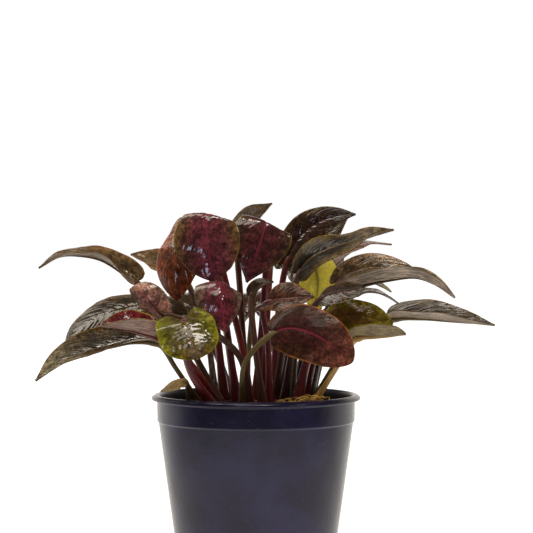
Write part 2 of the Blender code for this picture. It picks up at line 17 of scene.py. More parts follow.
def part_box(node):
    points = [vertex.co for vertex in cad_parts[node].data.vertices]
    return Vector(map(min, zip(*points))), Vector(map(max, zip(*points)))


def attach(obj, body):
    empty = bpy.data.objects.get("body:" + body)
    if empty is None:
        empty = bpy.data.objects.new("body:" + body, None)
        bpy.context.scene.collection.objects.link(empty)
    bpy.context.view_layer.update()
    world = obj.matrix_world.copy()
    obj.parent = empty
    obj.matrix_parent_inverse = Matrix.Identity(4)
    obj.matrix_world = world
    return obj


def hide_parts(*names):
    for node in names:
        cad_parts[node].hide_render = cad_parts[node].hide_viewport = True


MM = 0.001
TURN = 2 * math.pi

# The photograph: its camera stands 600 mm in front of the pot's axis
CAMERA_AT = (2.76, -600.0, 99.3)
CAMERA_AIM = (2.76, 0.0, 83.56)
FOCAL_PIXELS = 2280.0
FRAME_PIXELS = 533.0
SENSOR = 36.0
CLIP_START = 0.01           # metres
LIGHT_AIM = (0, 0, 0.07)    # metres, where the lights point

# Leaves
FOOT_Z = 48.9               # where the solids' stalks are cut flat
STALK_SINK = 1.6            # how far a stalk runs down into its rhizome
PATH_STEPS = 16             # between two given points of a path
HALF_STATIONS = 30          # steps along half a midrib
BLADE_ROWS = 60
BLADE_COLUMNS = 32
BLADE_THICK = 0.46
MARGIN_THICK = 0.45         # share of the blade's thickness
TIP_WIDTH = 0.03            # share of the blade's half-width
TIGHTEST_ROLL = 0.9         # radius
VEINS = 9.0                 # side veins along a blade
VEIN_LEAN = 0.45            # how far a side vein runs forward on its way to the margin
VEIN_WIDTH = 0.012          # share of the blade's length
VEIN_DEPTH = 0.05
SWELL_HEIGHT = 0.02         # of the soft swell between two side veins
GROOVE_DEPTH = 0.20         # over the midrib
GROOVE_WIDTH = 0.45
WAVE_HEIGHT = 0.26          # of the margin's long waves
CRISP_HEIGHT = 0.04         # of its short ones
STALK_FOOT_RADIUS = 1.5
STALK_TOP_RADIUS = 0.95
STALK_SIDES = 16
STALK_RINGS = 34
RIB_RINGS = 26
RIB_REACH = 0.92            # share of the blade that the rib under it runs along
BEND_LENGTH = 2.5           # over which the stalk's top drops to the rib
CHANNEL_DEPTH = 0.22        # share of the stalk's radius
FLUTE_DEPTH = 0.035

# What lies in the pot
BED_RINGS = 46
BED_SIDES = 120
BED_SAG = 0.7               # at the wall
BED_FOOT = 18.6             # radius of the bed's underside
CRUMBS = 900
MOSS_STRANDS = 110
MOSS_OUTERMOST = 23.6       # distance from the pot's axis within which they start
LOOSE_STRANDS = 130
LOOSE_OUTERMOST = 23.2
STRAND_REACH = 24.0         # distance from the pot's axis that no strand passes
STRAND_STEPS = 16


@dataclass
class Leaf:
    """A leaf as its foot on the rhizome, points up its stalk, and points along its midrib to the tip.

    half is the blade's half-width and face the way its upper side looks at mid-length. fold lifts
    each side of the midrib and curl rolls each side down (degrees, left and right), lobes reach back
    past the stalk (share of the length), twist turns the base and the tip about the midrib, tip_fold
    closes the tip, shoulder is its width where the stalk joins (share of the widest), widest is the
    share of the length where it is broadest, blunt rounds the tip and a higher taper makes the
    blade widen more slowly from its base.
    """
    name: str
    blade_look: str
    stalk_look: str
    foot: tuple
    stalk: list
    blade: list
    half: float
    face: tuple
    fold: tuple = (5, 5)
    curl: tuple = (10, 10)
    lobes: tuple = (0.12, 0.12)
    twist: tuple = (0, 0)
    tip_fold: float = 0
    shoulder: float = 0.45
    widest: float = 0.36
    blunt: float = 0.0
    taper: float = 0.5

    def __post_init__(self):
        self.name = "leaf_" + self.name


def unit(v):
    """The vector, or each row of vectors, at length 1."""
    v = np.asarray(v, float)
    return v / np.linalg.norm(v, axis=-1, keepdims=True)


def leaned(degrees, sideways=0.0):
    """The direction a blade's upper side faces: up, leaned towards -Y."""
    a = math.radians(degrees)
    return (sideways, -math.sin(a), math.cos(a))


LEAVES = [
    # Left of the pot, low to high.
    Leaf("left_low", "olive", "olive", (-15.2, -6.5), [(-20.8, -8, 57.4)],
         [(-25.4, -9, 64), (-31.5, -10.5, 64.6), (-37.2, -12.5, 63.4), (-44, -14, 61.8),
          (-50.6, -16, 59.2), (-56.3, -18, 54.8)],
         6.8, leaned(24), fold=(24, 24), curl=(4, -14), twist=(12, -10)),
    Leaf("left_broad", "olive", "dark", (-13.6, -0.4), [(-20, 2, 63)],
         [(-28.6, 3, 73.2), (-34.5, 2.5, 72.8), (-40.5, 1.5, 70.8), (-46, 0, 67.4), (-50, -1, 63.6)],
         7.2, leaned(26, -0.15), fold=(-14, 4), curl=(8, 8), blunt=0.6),
    Leaf("left_red_margin", "scarlet", "red", (-10.5, -11.5), [(-15, -15.5, 57)],
         [(-22.5, -18.5, 64.6), (-27, -19.8, 66.6), (-33.7, -22.3, 68.4), (-39.6, -24, 69.2)],
         6.0, leaned(4), fold=(40, 58), curl=(4, -6), lobes=(0.12, 0.05), twist=(18, -10), widest=0.42,
         blunt=0.3),
    Leaf("left_mauve", "mauve", "brown", (-1.6, -11.6),
         [(-4, -12.8, 60.3), (-10.8, -13.8, 66.8), (-18, -14.3, 70)],
         [(-24, -15.7, 72.2), (-26.6, -16, 74.8), (-28.8, -15.5, 76.8), (-32.4, -13.5, 78)],
         4.3, (-0.2, -0.85, 0.5), fold=(-42, 2), curl=(20, 16), lobes=(0.05, 0.16), blunt=0.9),
    Leaf("left_arching", "bronze", "brown", (-10, -2.6), [(-20, -4, 67)],
         [(-31.4, -4, 79.8), (-35.2, -5, 82.8), (-40.2, -7, 85.7), (-45, -9, 86.7),
          (-50.5, -11, 86.5), (-56, -12, 83.5)],
         6.2, leaned(14), fold=(26, 14), curl=(6, 6), lobes=(0, 0.03), twist=(-42, 4), widest=0.28,
         shoulder=0.42),
    Leaf("left_upper_back", "bronze", "brown", (-11, 8.5), [(-13, 12.5, 63), (-16.5, 15, 74)],
         [(-20, 16.5, 80.5), (-27.2, 17.5, 84.5), (-34, 17.5, 86.4)],
         7.2, leaned(30), fold=(22, 4)),
    Leaf("left_hanging", "amber", "crimson", (-8.5, 4), [(-11, 7, 72)],
         [(-13.6, 5, 94), (-15.8, 1.5, 96.6), (-18.8, -2, 91.5), (-21.5, -4.5, 83.5), (-20.7, -5, 74.8)],
         7.0, (-0.35, -0.9, 0.2), fold=(-20, -20), widest=0.6, blunt=0.5, taper=1.0),
    # The middle of the plant.
    Leaf("crimson_left", "crimson", "red", (-1.8, -4), [(-3.2, -3.5, 60.3), (-6, -2.5, 72)],
         [(-11.8, -6, 95), (-12.5, -9, 97.4), (-12.7, -11.5, 92.5), (-10.8, -12.5, 80.2)],
         8.7, (0, -1, 0.2), fold=(-4, -4), curl=(12, 12), shoulder=0.25, widest=0.5, blunt=0.7, taper=1.3),
    Leaf("crimson_right", "wine", "crimson", (0, 0.5), [(2, 4, 74)],
         [(3.0, 0, 93), (2.7, -3, 95.2), (1.4, -5.5, 90.7), (-2.4, -7, 79.6)],
         8.0, (0.1, -1, 0.2), fold=(-2, -2), curl=(12, 12),
         lobes=(0.02, 0.02), shoulder=0.35, widest=0.4, blunt=-0.2, taper=1.0),
    Leaf("top_back", "olive", "dark", (-2.5, 7), [(-4, 11, 72)],
         [(-4.5, 14, 91), (-1, 16, 97.2), (4.2, 18, 100.2)],
         4.8, (-0.5, -0.6, 0.65), fold=(8, 8), curl=(5, 5)),
    Leaf("centre_folded", "plum", "crimson", (-5, -8.5), [(-7, -10, 64)],
         [(-9, -13, 78.4), (-9.2, -16, 80.2), (-8.9, -20, 76.5), (-7.8, -20.8, 67.4)],
         6.8, (0.05, -1, 0.4), fold=(-30, -4), curl=(8, 14), widest=0.48, blunt=0.1, taper=0.9),
    Leaf("front_green", "green", "crimson", (-11.5, -16.5), [(-17, -21, 58.5), (-18.2, -26.4, 69.8)],
         [(-17.8, -29.3, 70.6), (-16.3, -33.2, 66.4), (-14.4, -37.2, 61.7)],
         7.7, (0, -0.72, 0.69), fold=(-3, -3), curl=(12, 12), lobes=(0.66, 0.48), shoulder=0.85,
         widest=0.4, blunt=0.7),
    Leaf("young_hooked", "dark", "brown", (1.8, -15), [(-0.2, -15.5, 64)],
         [(-0.9, -14.5, 77), (1.2, -14, 79), (4.5, -12.5, 80)],
         2.2, (0, -0.5, 0.85), fold=(35, 35), curl=(0, 0)),
    Leaf("front_crimson", "garnet", "olive", (-3.5, -18.5), [(-2.6, -22.5, 59.8)],
         [(4.4, -25, 67.3), (9, -27, 68.7), (15, -29.5, 67.1), (20, -31, 63.8), (24.2, -32, 60.6)],
         7.4, (-0.05, -0.93, 0.38), fold=(-2, -2), curl=(12, 12), lobes=(0.05, 0.05), blunt=0.9),
    Leaf("brown_folded", "brown", "crimson", (3.5, -9), [(3, -10, 64), (1.9, -11.2, 73.4)],
         [(3.8, -12, 75), (9, -13.4, 75.7), (15, -14, 76.2)],
         5.0, leaned(22), fold=(42, -4), curl=(10, 16), lobes=(0, 0.4), shoulder=0.25, taper=0.6),
    # Right of the pot, high to low.
    Leaf("right_top", "dark", "crimson", (4.5, 4.5), [(6, 6.5, 72)],
         [(8.5, 5.5, 85.5), (12.2, 4.5, 91.8), (17.4, 3.2, 95.5), (22, 2.5, 96.9), (26.3, 2, 97.3)],
         5.1, (-0.25, -0.8, 0.5), fold=(20, 2), curl=(14, 14)),
    Leaf("right_top_back", "olive", "dark", (7, 10), [(10, 12, 68)],
         [(13.2, 12, 82), (17.5, 11, 90), (24.5, 10, 96.5)],
         5.0, (-0.5, -0.7, 0.5), fold=(-5, -5), curl=(5, 5)),
    Leaf("right_upper", "umber", "brown", (5, 0.5), [(7.5, -1, 66)],
         [(11.5, -4, 82.3), (14.5, -5.5, 86), (20, -6.5, 88.6), (27, -7, 90.7), (35.8, -8, 93.3)],
         6.4, leaned(24, -0.2), fold=(10, 10), curl=(14, 10), lobes=(0.06, 0.06), twist=(24, 0),
         tip_fold=36),
    Leaf("right_sliver_back", "brown", "dark", (10.5, 10), [(14, 13, 66)],
         [(21, 18.5, 84.5), (29, 22, 89.2), (37, 25, 89)], 5.0, leaned(4), fold=(4, 4), curl=(5, 5)),
    Leaf("right_long_upper", "bronze", "crimson", (12.6, 0.5), [(17.2, -1.4, 66.5)],
         [(22.4, -1.8, 80.2), (26.4, -2.2, 82.4), (32, -2.8, 83.3), (38.5, -3.6, 82.2), (45, -4.6, 80.4)],
         4.7, leaned(30, 0.05), fold=(22, 18), curl=(-4, 12), twist=(6, 0)),
    Leaf("right_long", "olive", "dark", (10.5, -3.5), [(14.5, -7, 64)],
         [(21.5, -9.8, 76.8), (26.6, -11.8, 79), (34.2, -13.5, 80.6), (41.2, -15, 81.2), (46, -16, 79.4),
          (51, -16.8, 76)],
         4.8, leaned(5, 0.1), fold=(36, 46), curl=(8, 6), lobes=(0.02, 0.02), widest=0.42, blunt=0.5),
    Leaf("right_round", "dark", "dark", (7.3, -5.2), [(10, -8.1, 64)],
         [(17.1, -16.7, 76.1), (21.5, -18.4, 77.6), (27.6, -19.7, 78.6)],
         4.4, leaned(38), fold=(-6, 0), curl=(10, 9), lobes=(0.1, 0.1), blunt=0.9),
    Leaf("lime_behind", "lime", "olive", (9.5, 3.5), [(11, 6, 66)],
         [(14, 6.4, 84.3), (15.8, 4.6, 82.6), (16.4, 3.2, 78.2), (15.2, 2.6, 72)],
         5.4, (-0.12, -1, 0.2), fold=(0, 0), blunt=0.6),
    Leaf("right_olive", "moss", "crimson", (11, -8.5), [(14, -10, 61)],
         [(18.6, -12.6, 69.8), (24, -13.6, 71.2), (30, -14, 70.7), (35.3, -14.2, 69.2)],
         4.8, (0.1, -0.9, 0.42), fold=(0, 0), lobes=(0, 0.04), blunt=0.5),
    Leaf("right_silver", "tan", "tan", (15.3, -11), [(20, -15, 56.8)],
         [(25.8, -20, 66), (30, -21.5, 66.4), (34.3, -22.5, 66.6), (38, -23, 67)],
         4.8, leaned(-8, 0.1), fold=(18, 36), curl=(8, 8), widest=0.5, blunt=0.9),
    Leaf("far_right", "olive", "olive", (15.5, -2), [(24, 1, 62)],
         [(36, 2, 69.8), (43, 0, 70.1), (52, -2, 69.3), (62.5, -4, 68.3)],
         5.8, leaned(28), fold=(30, 53), curl=(8, 10), lobes=(0.04, 0.1)),
    Leaf("right_dark_back", "dark", "dark", (14, 4.5), [(19, 8, 65)],
         [(26.5, 10, 76.2), (32.5, 11, 76.6), (38.8, 12, 73)], 5.0, leaned(5), fold=(4, 4), curl=(5, 5)),
    Leaf("right_pale_back", "tan", "olive", (15, 11.5), [(20, 17, 65)],
         [(27, 21, 78.2), (32, 23, 78.7), (37, 25.5, 76)], 4.2, leaned(2), fold=(4, 4), curl=(5, 5)),
    Leaf("old_at_rim", "straw", "straw", (-17.5, -12.5), [],
         [(-18.2, -13.2, 54.4), (-21.4, -12, 54.2), (-24.7, -9.2, 51.4)],
         2.8, leaned(30), fold=(-20, -20), curl=(40, 40)),
    # The back, which the photograph does not show.
    Leaf("back_left_low", "olive", "crimson", (-6.8, 9.5), [(-11, 15.5, 60)],
         [(-18, 19, 70), (-22, 26, 74.3), (-26, 33.5, 73.5), (-29.5, 41, 67.5)],
         6.8, (-0.3, 0.3, 0.9), fold=(8, 8), curl=(20, 20), twist=(-8, 8)),
    Leaf("back_left_high", "brown", "crimson", (-5.5, 14), [(-8.5, 18, 68)],
         [(-11, 24, 84), (-13, 30, 88), (-15.5, 38, 87.5), (-18, 45, 82.5)],
         6.6, (-0.1, 0.2, 0.95), fold=(4, 10), curl=(20, 20), blunt=0.4),
    Leaf("back_centre_low", "brown", "olive", (-2.6, 17.5), [(-2, 22, 61)],
         [(-1, 27, 71.5), (-1, 35, 75), (-2, 45, 73.5), (-3.5, 53.5, 66.5)],
         7.0, (-0.2, 0.3, 0.95), fold=(8, 8), curl=(20, 20)),
    Leaf("back_centre_high", "olive", "crimson", (1.5, 12.5), [(3, 18, 70)],
         [(4, 25, 85), (5, 31.5, 90), (7.5, 39, 91), (10.5, 46, 88)],
         6.2, (0.3, 0.2, 0.9), fold=(12, 4), curl=(15, 15), twist=(8, -12)),
    Leaf("back_centre_short", "green", "olive", (1.2, 18.2), [(3.6, 22.5, 56)],
         [(6.2, 28, 61), (8.2, 34, 64.5), (10.2, 41, 64), (12, 47, 60)],
         5.6, (-0.1, 0.2, 0.95), fold=(6, 12), curl=(20, 20), blunt=0.3),
    Leaf("back_right_high", "dark", "crimson", (6.4, 15), [(9, 19, 66)],
         [(13, 25, 81), (16, 32, 85.5), (20, 40, 85), (24, 47.5, 80.5)],
         6.8, (0.1, 0.2, 0.95), fold=(8, 8), curl=(20, 20), twist=(0, 10)),
    Leaf("back_right_low", "olive", "crimson", (7, 19), [(13, 22, 58)],
         [(20, 25, 67.5), (24.5, 31, 70.5), (29, 37.5, 69.5), (33, 44.5, 63.5)],
         6.4, (0.3, 0.3, 0.9), fold=(8, 8), curl=(20, 20)),
    Leaf("back_far_left", "brown", "red", (-13.5, 4), [(-18, 9, 58)],
         [(-25, 15, 65.5), (-31, 21.5, 69.5), (-38, 28.5, 68.5), (-45, 35, 62.5)],
         6.8, (-0.3, 0.2, 0.9), fold=(8, 8), curl=(20, 20)),
    Leaf("back_far_right", "olive", "crimson", (11, 14), [(15, 20, 64)],
         [(19.2, 26.6, 77), (25, 32, 81.5), (31, 37, 83.2), (37, 42, 81.2)],
         6.0, (0.1, 0.1, 0.95), fold=(8, 8), curl=(15, 15)),
]

# How a blade looks: its slot, how strongly its wet film is pleated, the share of light let through, and
# colours given as a screen shows them (0 to 255): beside the midrib, near the margin, towards the
# tip, the midrib, the margin and the underside
BLADE_LOOK_COLUMNS = ("slot", "pleats", "glow", "inner", "outer", "tip", "midrib", "margin", "under")
BLADE_LOOKS = {
    "olive": ("leaf_olive", 1.0, 0.12, (58, 43, 18), (84, 62, 18), (74, 56, 24), (112, 78, 44),
              (140, 106, 48), (182, 158, 128)),
    "bronze": ("leaf_olive", 0.8, 0.16, (104, 84, 58), (132, 100, 58), (116, 90, 58), (140, 104, 66),
               (176, 124, 60), (168, 144, 116)),
    "brown": ("leaf_brown", 0.7, 0.16, (92, 54, 42), (104, 64, 36), (98, 60, 36), (140, 84, 62),
              (178, 112, 44), (120, 92, 76)),
    "amber": ("leaf_brown", 0.7, 0.26, (122, 78, 62), (172, 84, 28), (170, 84, 30), (140, 84, 54),
              (190, 116, 40), (110, 62, 46)),
    "crimson": ("leaf_crimson", 0.3, 0.1, (118, 56, 68), (116, 88, 56), (120, 52, 70), (150, 50, 76),
                (150, 128, 50), (120, 92, 84)),
    "wine": ("leaf_crimson", 0.3, 0.1, (94, 44, 48), (88, 64, 50), (98, 42, 54), (140, 48, 72),
             (150, 128, 50), (120, 92, 84)),
    "garnet": ("leaf_crimson", 0.25, 0.08, (56, 24, 20), (72, 44, 22), (132, 76, 62), (132, 36, 62),
               (176, 104, 46), (120, 70, 66)),
    # Plum: the grey-brown towards the margins is partly the leaf's own colour and partly a painted sheen on
    # its folded side
    "plum": ("leaf_crimson", 0.3, 0.1, (104, 44, 56), (114, 98, 84), (112, 40, 54), (150, 46, 76),
             (120, 100, 60), (120, 92, 84)),
    "dark": ("leaf_olive", 0.8, 0.08, (56, 34, 24), (66, 46, 20), (58, 40, 22), (84, 50, 50),
             (140, 112, 50), (104, 76, 70)),
    "mauve": ("leaf_mauve", 0.3, 0.12, (176, 126, 118), (150, 116, 98), (166, 126, 112), (170, 84, 100),
              (156, 112, 64), (150, 120, 108)),
    "scarlet": ("leaf_mauve", 0.3, 0.14, (128, 34, 46), (120, 36, 46), (130, 60, 58), (120, 40, 56),
                (176, 168, 60), (166, 136, 116)),
    "green": ("leaf_green", 0.12, 0.26, (92, 84, 34), (136, 138, 22), (112, 84, 36), (130, 84, 56),
              (184, 174, 52), (110, 92, 44)),
    "moss": ("leaf_green", 0.3, 0.35, (88, 60, 20), (164, 152, 42), (176, 160, 52), (96, 62, 30),
             (170, 140, 50), (110, 92, 44)),
    "lime": ("leaf_lime", 0.4, 0.75, (244, 238, 150), (248, 240, 132), (240, 228, 130), (176, 166, 80),
             (236, 224, 130), (236, 228, 120)),
    "straw": ("leaf_olive", 0.7, 0.35, (226, 190, 126), (238, 206, 148), (206, 166, 104), (206, 176, 110),
              (232, 214, 160), (214, 184, 130)),
    "umber": ("leaf_olive", 1.1, 0.12, (26, 18, 12), (86, 68, 24), (84, 66, 40), (130, 100, 54),
              (150, 120, 52), (182, 158, 128)),
    "tan": ("leaf_olive", 0.7, 0.2, (110, 90, 52), (124, 100, 58), (120, 96, 52), (140, 116, 70),
            (176, 160, 60), (174, 154, 108)),
}
# A stalk's thickness as a share of the solid's, and its colours at the foot, halfway and under the blade
STALK_COLUMNS = ("slimness", "foot", "middle", "top")
STALK_LOOKS = {
    "crimson": (0.84, (84, 18, 20), (112, 28, 36), (104, 44, 40)),
    "red": (0.8, (92, 28, 20), (136, 38, 34), (120, 50, 40)),
    "dark": (0.8, (48, 16, 12), (66, 24, 20), (72, 40, 28)),
    "olive": (0.64, (74, 52, 18), (96, 78, 28), (104, 88, 34)),
    "brown": (0.74, (64, 30, 20), (86, 48, 34), (94, 64, 38)),
    "tan": (0.62, (206, 160, 84), (232, 190, 110), (200, 160, 90)),
    "straw": (0.4, (30, 20, 12), (70, 50, 28), (170, 134, 78)),
}
# How much of the wet gloss a dry place lacks
DRIEST = 0.9
# What single leaves have of their own: colours (a pale tip or underside marked below is a painted
# highlight), how mottled or dry they are, from which share of the length they are dry, or which side of the
# midrib is (1 or -1) and between which shares of the half-width it dries
EXTRAS = {
    # Its pale silvery tip is a painted highlight of the wet sheen
    "leaf_left_low": dict(dry_side=(1.0, 0.05, 0.35), tip=(184, 172, 146)),
    # Its pale tip and underside are a painted highlight on the drooping tip
    "leaf_right_long": dict(tip=(196, 182, 156), under=(218, 196, 172)),
    "leaf_right_round": dict(dry_side=(-1.0, -0.35, 0.0)),
    # Its paler tip is a painted highlight of the wet sheen
    "leaf_right_upper": dict(dry=0.8, tip=(142, 124, 94), under=(204, 180, 150)),
    "leaf_top_back": dict(dry=0.9, inner=(50, 36, 16), outer=(70, 52, 20)),
    "leaf_brown_folded": dict(dry=0.4),
    "leaf_front_crimson": dict(dry=0.95),
    "leaf_front_green": dict(dry_tip=0.62),
    "leaf_back_centre_short": dict(dry_tip=0.62),
    "leaf_lime_behind": dict(mottle=0.25),
    "leaf_old_at_rim": dict(mottle=0.4),
}
# Linear colours that a material's own colour is mixed with or multiplied by
PATCH_DARK = (0.40, 0.38, 0.36, 1)
PATCH_LIGHT = (1.4, 1.34, 1.2, 1)
GRAIN_DARK = (0.6, 0.6, 0.6, 1)
GRAIN_LIGHT = (1.4, 1.4, 1.4, 1)
CELL_DARK = (0.004, 0.002, 0.002, 1)
STALK_DARK = (0.006, 0.002, 0.001, 1)
STALK_WARM = (0.17, 0.055, 0.02, 1)
# Painted shade: the near black that the pot's hollow is coloured
POT_INSIDE_SHADE = (0.004, 0.003, 0.004, 1)


# Curves and surfaces, the same as the solids'

def smooth_path(points):
    """Dense points on a smooth curve through the given points."""
    p = np.array(points, float)
    gap = np.sqrt(np.linalg.norm(np.diff(p, axis=0), axis=1))[:, None]
    slope = np.diff(p, axis=0) / gap
    inner = (slope[:-1] * gap[1:] + slope[1:] * gap[:-1]) / (gap[:-1] + gap[1:])
    tangent = np.vstack([slope[:1], inner, slope[-1:]])
    t = np.linspace(0, 1, PATH_STEPS, endpoint=False)[:, None]
    path = []
    for i in range(len(p) - 1):
        m = tangent[i] * gap[i]
        n = tangent[i + 1] * gap[i]
        path.append(p[i] * (2 * t**3 - 3 * t**2 + 1) + m * (t**3 - 2 * t**2 + t)
                    + p[i + 1] * (3 * t**2 - 2 * t**3) + n * (t**3 - t**2))
    return np.vstack(path + [p[-1:]])


def path_length(path):
    return np.linalg.norm(np.diff(path, axis=0), axis=1).sum()


def between(where, known, vectors):
    """The vector at each of the places where, from those at the known ones."""
    return np.stack([np.interp(where, known, vectors[:, k]) for k in range(3)], axis=-1)


def at_lengths(path, where):
    """Points at the given distances along a dense path, which runs on straight before its start."""
    run = np.concatenate([[0], np.cumsum(np.linalg.norm(np.diff(path, axis=0), axis=1))])
    where = np.asarray(where, float)
    return between(where, run, path) + np.minimum(where, 0)[..., None] * unit(path[1] - path[0])


def carried_normals(path, first, start):
    """The path's direction and one across it, carried from the point numbered start to both ends."""
    tangent = unit(np.gradient(path, axis=0))
    normal = np.zeros_like(path)
    for order in (range(start, len(path)), range(start, -1, -1)):
        last = np.array(first, float)
        for k in order:
            last = unit(last - np.dot(last, tangent[k]) * tangent[k])
            normal[k] = last
    return tangent, normal


def leaf_paths(leaf):
    """The stalk's and the midrib's dense paths."""
    stalk = [(*leaf.foot, FOOT_Z)] + leaf.stalk
    whole = smooth_path(stalk + leaf.blade)
    cut = PATH_STEPS * len(stalk)
    return whole[:cut + 1], whole[cut:]


def half_width(leaf, s):
    """The blade's half-width at share s of its length."""
    start, widest, blunt = leaf.shoulder, leaf.widest, leaf.blunt
    near = start + (1 - start) * np.clip(1 - (1 - s / widest)**2, 0, 1)**leaf.taper
    x = np.clip((s - widest) / (1 - widest), 0, 1)
    far = TIP_WIDTH + (1 - TIP_WIDTH) * (1 - x**(1.9 + 0.5 * blunt))**(1.15 - 0.55 * blunt)
    return leaf.half * np.where(s < widest, near, far)


def midrib_stations(leaf, midrib, s):
    """Centre, upper normal and side direction of the blade at shares s of its length."""
    share = np.linspace(0, 1, 2 * HALF_STATIONS + 1)
    length = path_length(midrib)
    tangent, normal = carried_normals(at_lengths(midrib, share * length), leaf.face, HALF_STATIONS)
    base, tip = leaf.twist
    turn = np.radians(np.where(share < 0.5, (1 - 2 * share) * base, (2 * share - 1) * tip))[:, None]
    normal = normal * np.cos(turn) + np.cross(tangent, normal) * np.sin(turn)
    inside = np.clip(s, 0, 1)
    t = unit(between(inside, share, tangent))
    n = unit(between(inside, share, normal))
    centre = at_lengths(midrib, inside * length) + np.minimum(s, 0)[..., None] * length * tangent[0]
    return centre, n, np.cross(t, n)


def blade_surface(leaf, midrib, s, u):
    """Points of the blade's middle surface: s runs from base to tip, u from margin to margin, -1 to 1."""
    across_share = np.abs(u)
    left = u < 0
    lobe = np.where(left, leaf.lobes[0], leaf.lobes[1])
    back = lobe * np.sin(0.75 * math.pi * across_share**1.2) * (1 - s)**3
    centre, normal, side = midrib_stations(leaf, midrib, s - back)
    width = half_width(leaf, s)
    close = np.clip((s - 0.55) / 0.45, 0, 1)
    close = close**2 * (3 - 2 * close)
    fold = np.radians(np.where(left, leaf.fold[0], leaf.fold[1]) + leaf.tip_fold * close)
    curl = np.radians(np.where(left, leaf.curl[0], leaf.curl[1])) + 1e-5
    curl = np.clip(curl, -width / TIGHTEST_ROLL, width / TIGHTEST_ROLL)
    across = (np.sin(fold) - np.sin(fold - curl * across_share)) / curl
    rise = (np.cos(fold - curl * across_share) - np.cos(fold)) / curl
    return centre + side * (np.sign(u) * width * across)[..., None] + normal * (width * rise)[..., None]


# Blades and stalks

def own_random(name):
    """Numbers that are the same at every run for one name."""
    return np.random.default_rng(zlib.crc32(name.encode()))


def relief(leaf, s, u, rng):
    """How far the blade's surface stands out: veins, the soft swell between them, and waves."""
    side = np.abs(u)
    inner = 1 - side**8
    phase = VEINS * (s - VEIN_LEAN * side**1.3) + 0.5 * (u > 0)
    first, second = own_random(leaf.name + "_veins").uniform(0, TURN, 2)
    phase = phase + 0.22 * np.sin(11 * s + 3 * u + first) + 0.12 * np.sin(26 * s - 5 * u + second)
    to_vein = np.abs(phase - np.round(phase)) / VEINS
    veins = -VEIN_DEPTH * np.exp(-(to_vein / VEIN_WIDTH)**2) * inner * np.clip(side / 0.08, 0, 1)
    swell = SWELL_HEIGHT * (np.cos(TURN * (phase + 0.5)) + 1) * inner * np.clip(side / 0.2, 0, 1)
    groove = -GROOVE_DEPTH * np.exp(-(u * half_width(leaf, s) / GROOVE_WIDTH)**2) * (1 - 0.7 * s)
    start = rng.uniform(0, TURN, 4)
    way = np.where(u < 0, start[0], start[1])
    wave = WAVE_HEIGHT * np.sin(TURN * rng.uniform(1.8, 2.6) * s + way) * side**2.2
    crisp = CRISP_HEIGHT * np.sin(TURN * rng.uniform(7, 9) * s + 2 * way + start[2]) * side**5
    reach = leaf.half / 7
    return veins + swell + groove + (wave + crisp) * reach * (1 - s**4)


def blade_grid(leaf, midrib):
    """Rows of points of the finished blade, closer at both ends and at the margins, with their s and u,
    and whether faces made of them look down."""
    g = np.linspace(0, 1, BLADE_ROWS + 1)
    rows = 0.55 * g + 0.45 * (1 - np.cos(math.pi * g)) / 2
    h = np.linspace(-1, 1, BLADE_COLUMNS + 1)
    columns = 0.8 * h + 0.2 * np.sin(0.5 * math.pi * h)
    s, u = np.meshgrid(rows, columns, indexing="ij")
    places = blade_surface(leaf, midrib, s, u)
    normal = unit(np.cross(np.gradient(places, axis=1), np.gradient(places, axis=0)))
    _, upward, _ = midrib_stations(leaf, midrib, rows)
    facing = np.sum(normal[:, BLADE_COLUMNS // 2] * upward)
    height = relief(leaf, s, u, own_random(leaf.name)) * np.sign(facing)
    return places + normal * height[..., None], s, u, facing < 0


def grid_mesh(name, points, uv):
    """A mesh of quads from rows of points, with one UV pair a point."""
    rows, columns = points.shape[:2]
    index = np.arange(rows * columns).reshape(rows, columns)
    quads = np.stack([index[:-1, :-1], index[:-1, 1:], index[1:, 1:], index[1:, :-1]], -1).reshape(-1, 4)
    mesh = bpy.data.meshes.new(name)
    mesh.from_pydata((points.reshape(-1, 3) * MM).tolist(), [], quads.tolist())
    layer = mesh.uv_layers.new(name="leaf")
    pairs = uv.reshape(-1, 2)[quads.reshape(-1)]
    layer.data.foreach_set("uv", pairs.ravel())
    mesh.shade_smooth()
    return mesh


def opened(mesh, merge):
    """The mesh's faces for editing, with points closer than merge joined."""
    bm = bmesh.new()
    bm.from_mesh(mesh)
    bmesh.ops.remove_doubles(bm, verts=bm.verts, dist=merge)
    return bm


def close_up(bm):
    """Fills the holes and turns all faces outwards."""
    bmesh.ops.holes_fill(bm, edges=[e for e in bm.edges if e.is_boundary], sides=0)
    bmesh.ops.recalc_face_normals(bm, faces=bm.faces)


def finished(bm, mesh):
    """Puts the edited faces into the mesh."""
    bm.to_mesh(mesh)
    bm.free()
    mesh.shade_smooth()
    return mesh


def new_object(name, data, place=(0, 0, 0), aim=None):
    """An object in the scene, which looks at aim where that is given."""
    obj = bpy.data.objects.new(name, data)
    bpy.context.scene.collection.objects.link(obj)
    obj.location = place
    if aim is not None:
        obj.rotation_euler = (Vector(aim) - Vector(place)).to_track_quat("-Z", "Y").to_euler()
    return obj


def new_piece(name, mesh, materials, slot, *nodes):
    """An object that rides on the plant and stands for the given solids."""
    obj = new_object(name, mesh)
    for material in materials:
        mesh.materials.append(material)
    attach(obj, "root")
    if nodes:
        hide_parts(*nodes)
    return obj


def build_blade(leaf, midrib, materials, slot):
    """The blade: a fine sheet, thickened, thinner towards its margin."""
    places, s, u, looks_down = blade_grid(leaf, midrib)
    mesh = grid_mesh(leaf.name + "_blade", places, np.stack([(u + 1) / 2, s], -1))
    if looks_down:
        mesh.flip_normals()
    piece = new_piece(leaf.name + "_blade", mesh, materials, slot, leaf.name)
    group = piece.vertex_groups.new(name="thickness")
    thick = (MARGIN_THICK + (1 - MARGIN_THICK) * (1 - np.abs(u)**3)).ravel()
    for index, share in enumerate(thick):
        group.add([index], float(share), "REPLACE")
    solid = piece.modifiers.new("Thickness", "SOLIDIFY")
    solid.thickness = BLADE_THICK * MM
    solid.offset = 0
    solid.vertex_group = "thickness"
    solid.material_offset = 1
    solid.material_offset_rim = 2


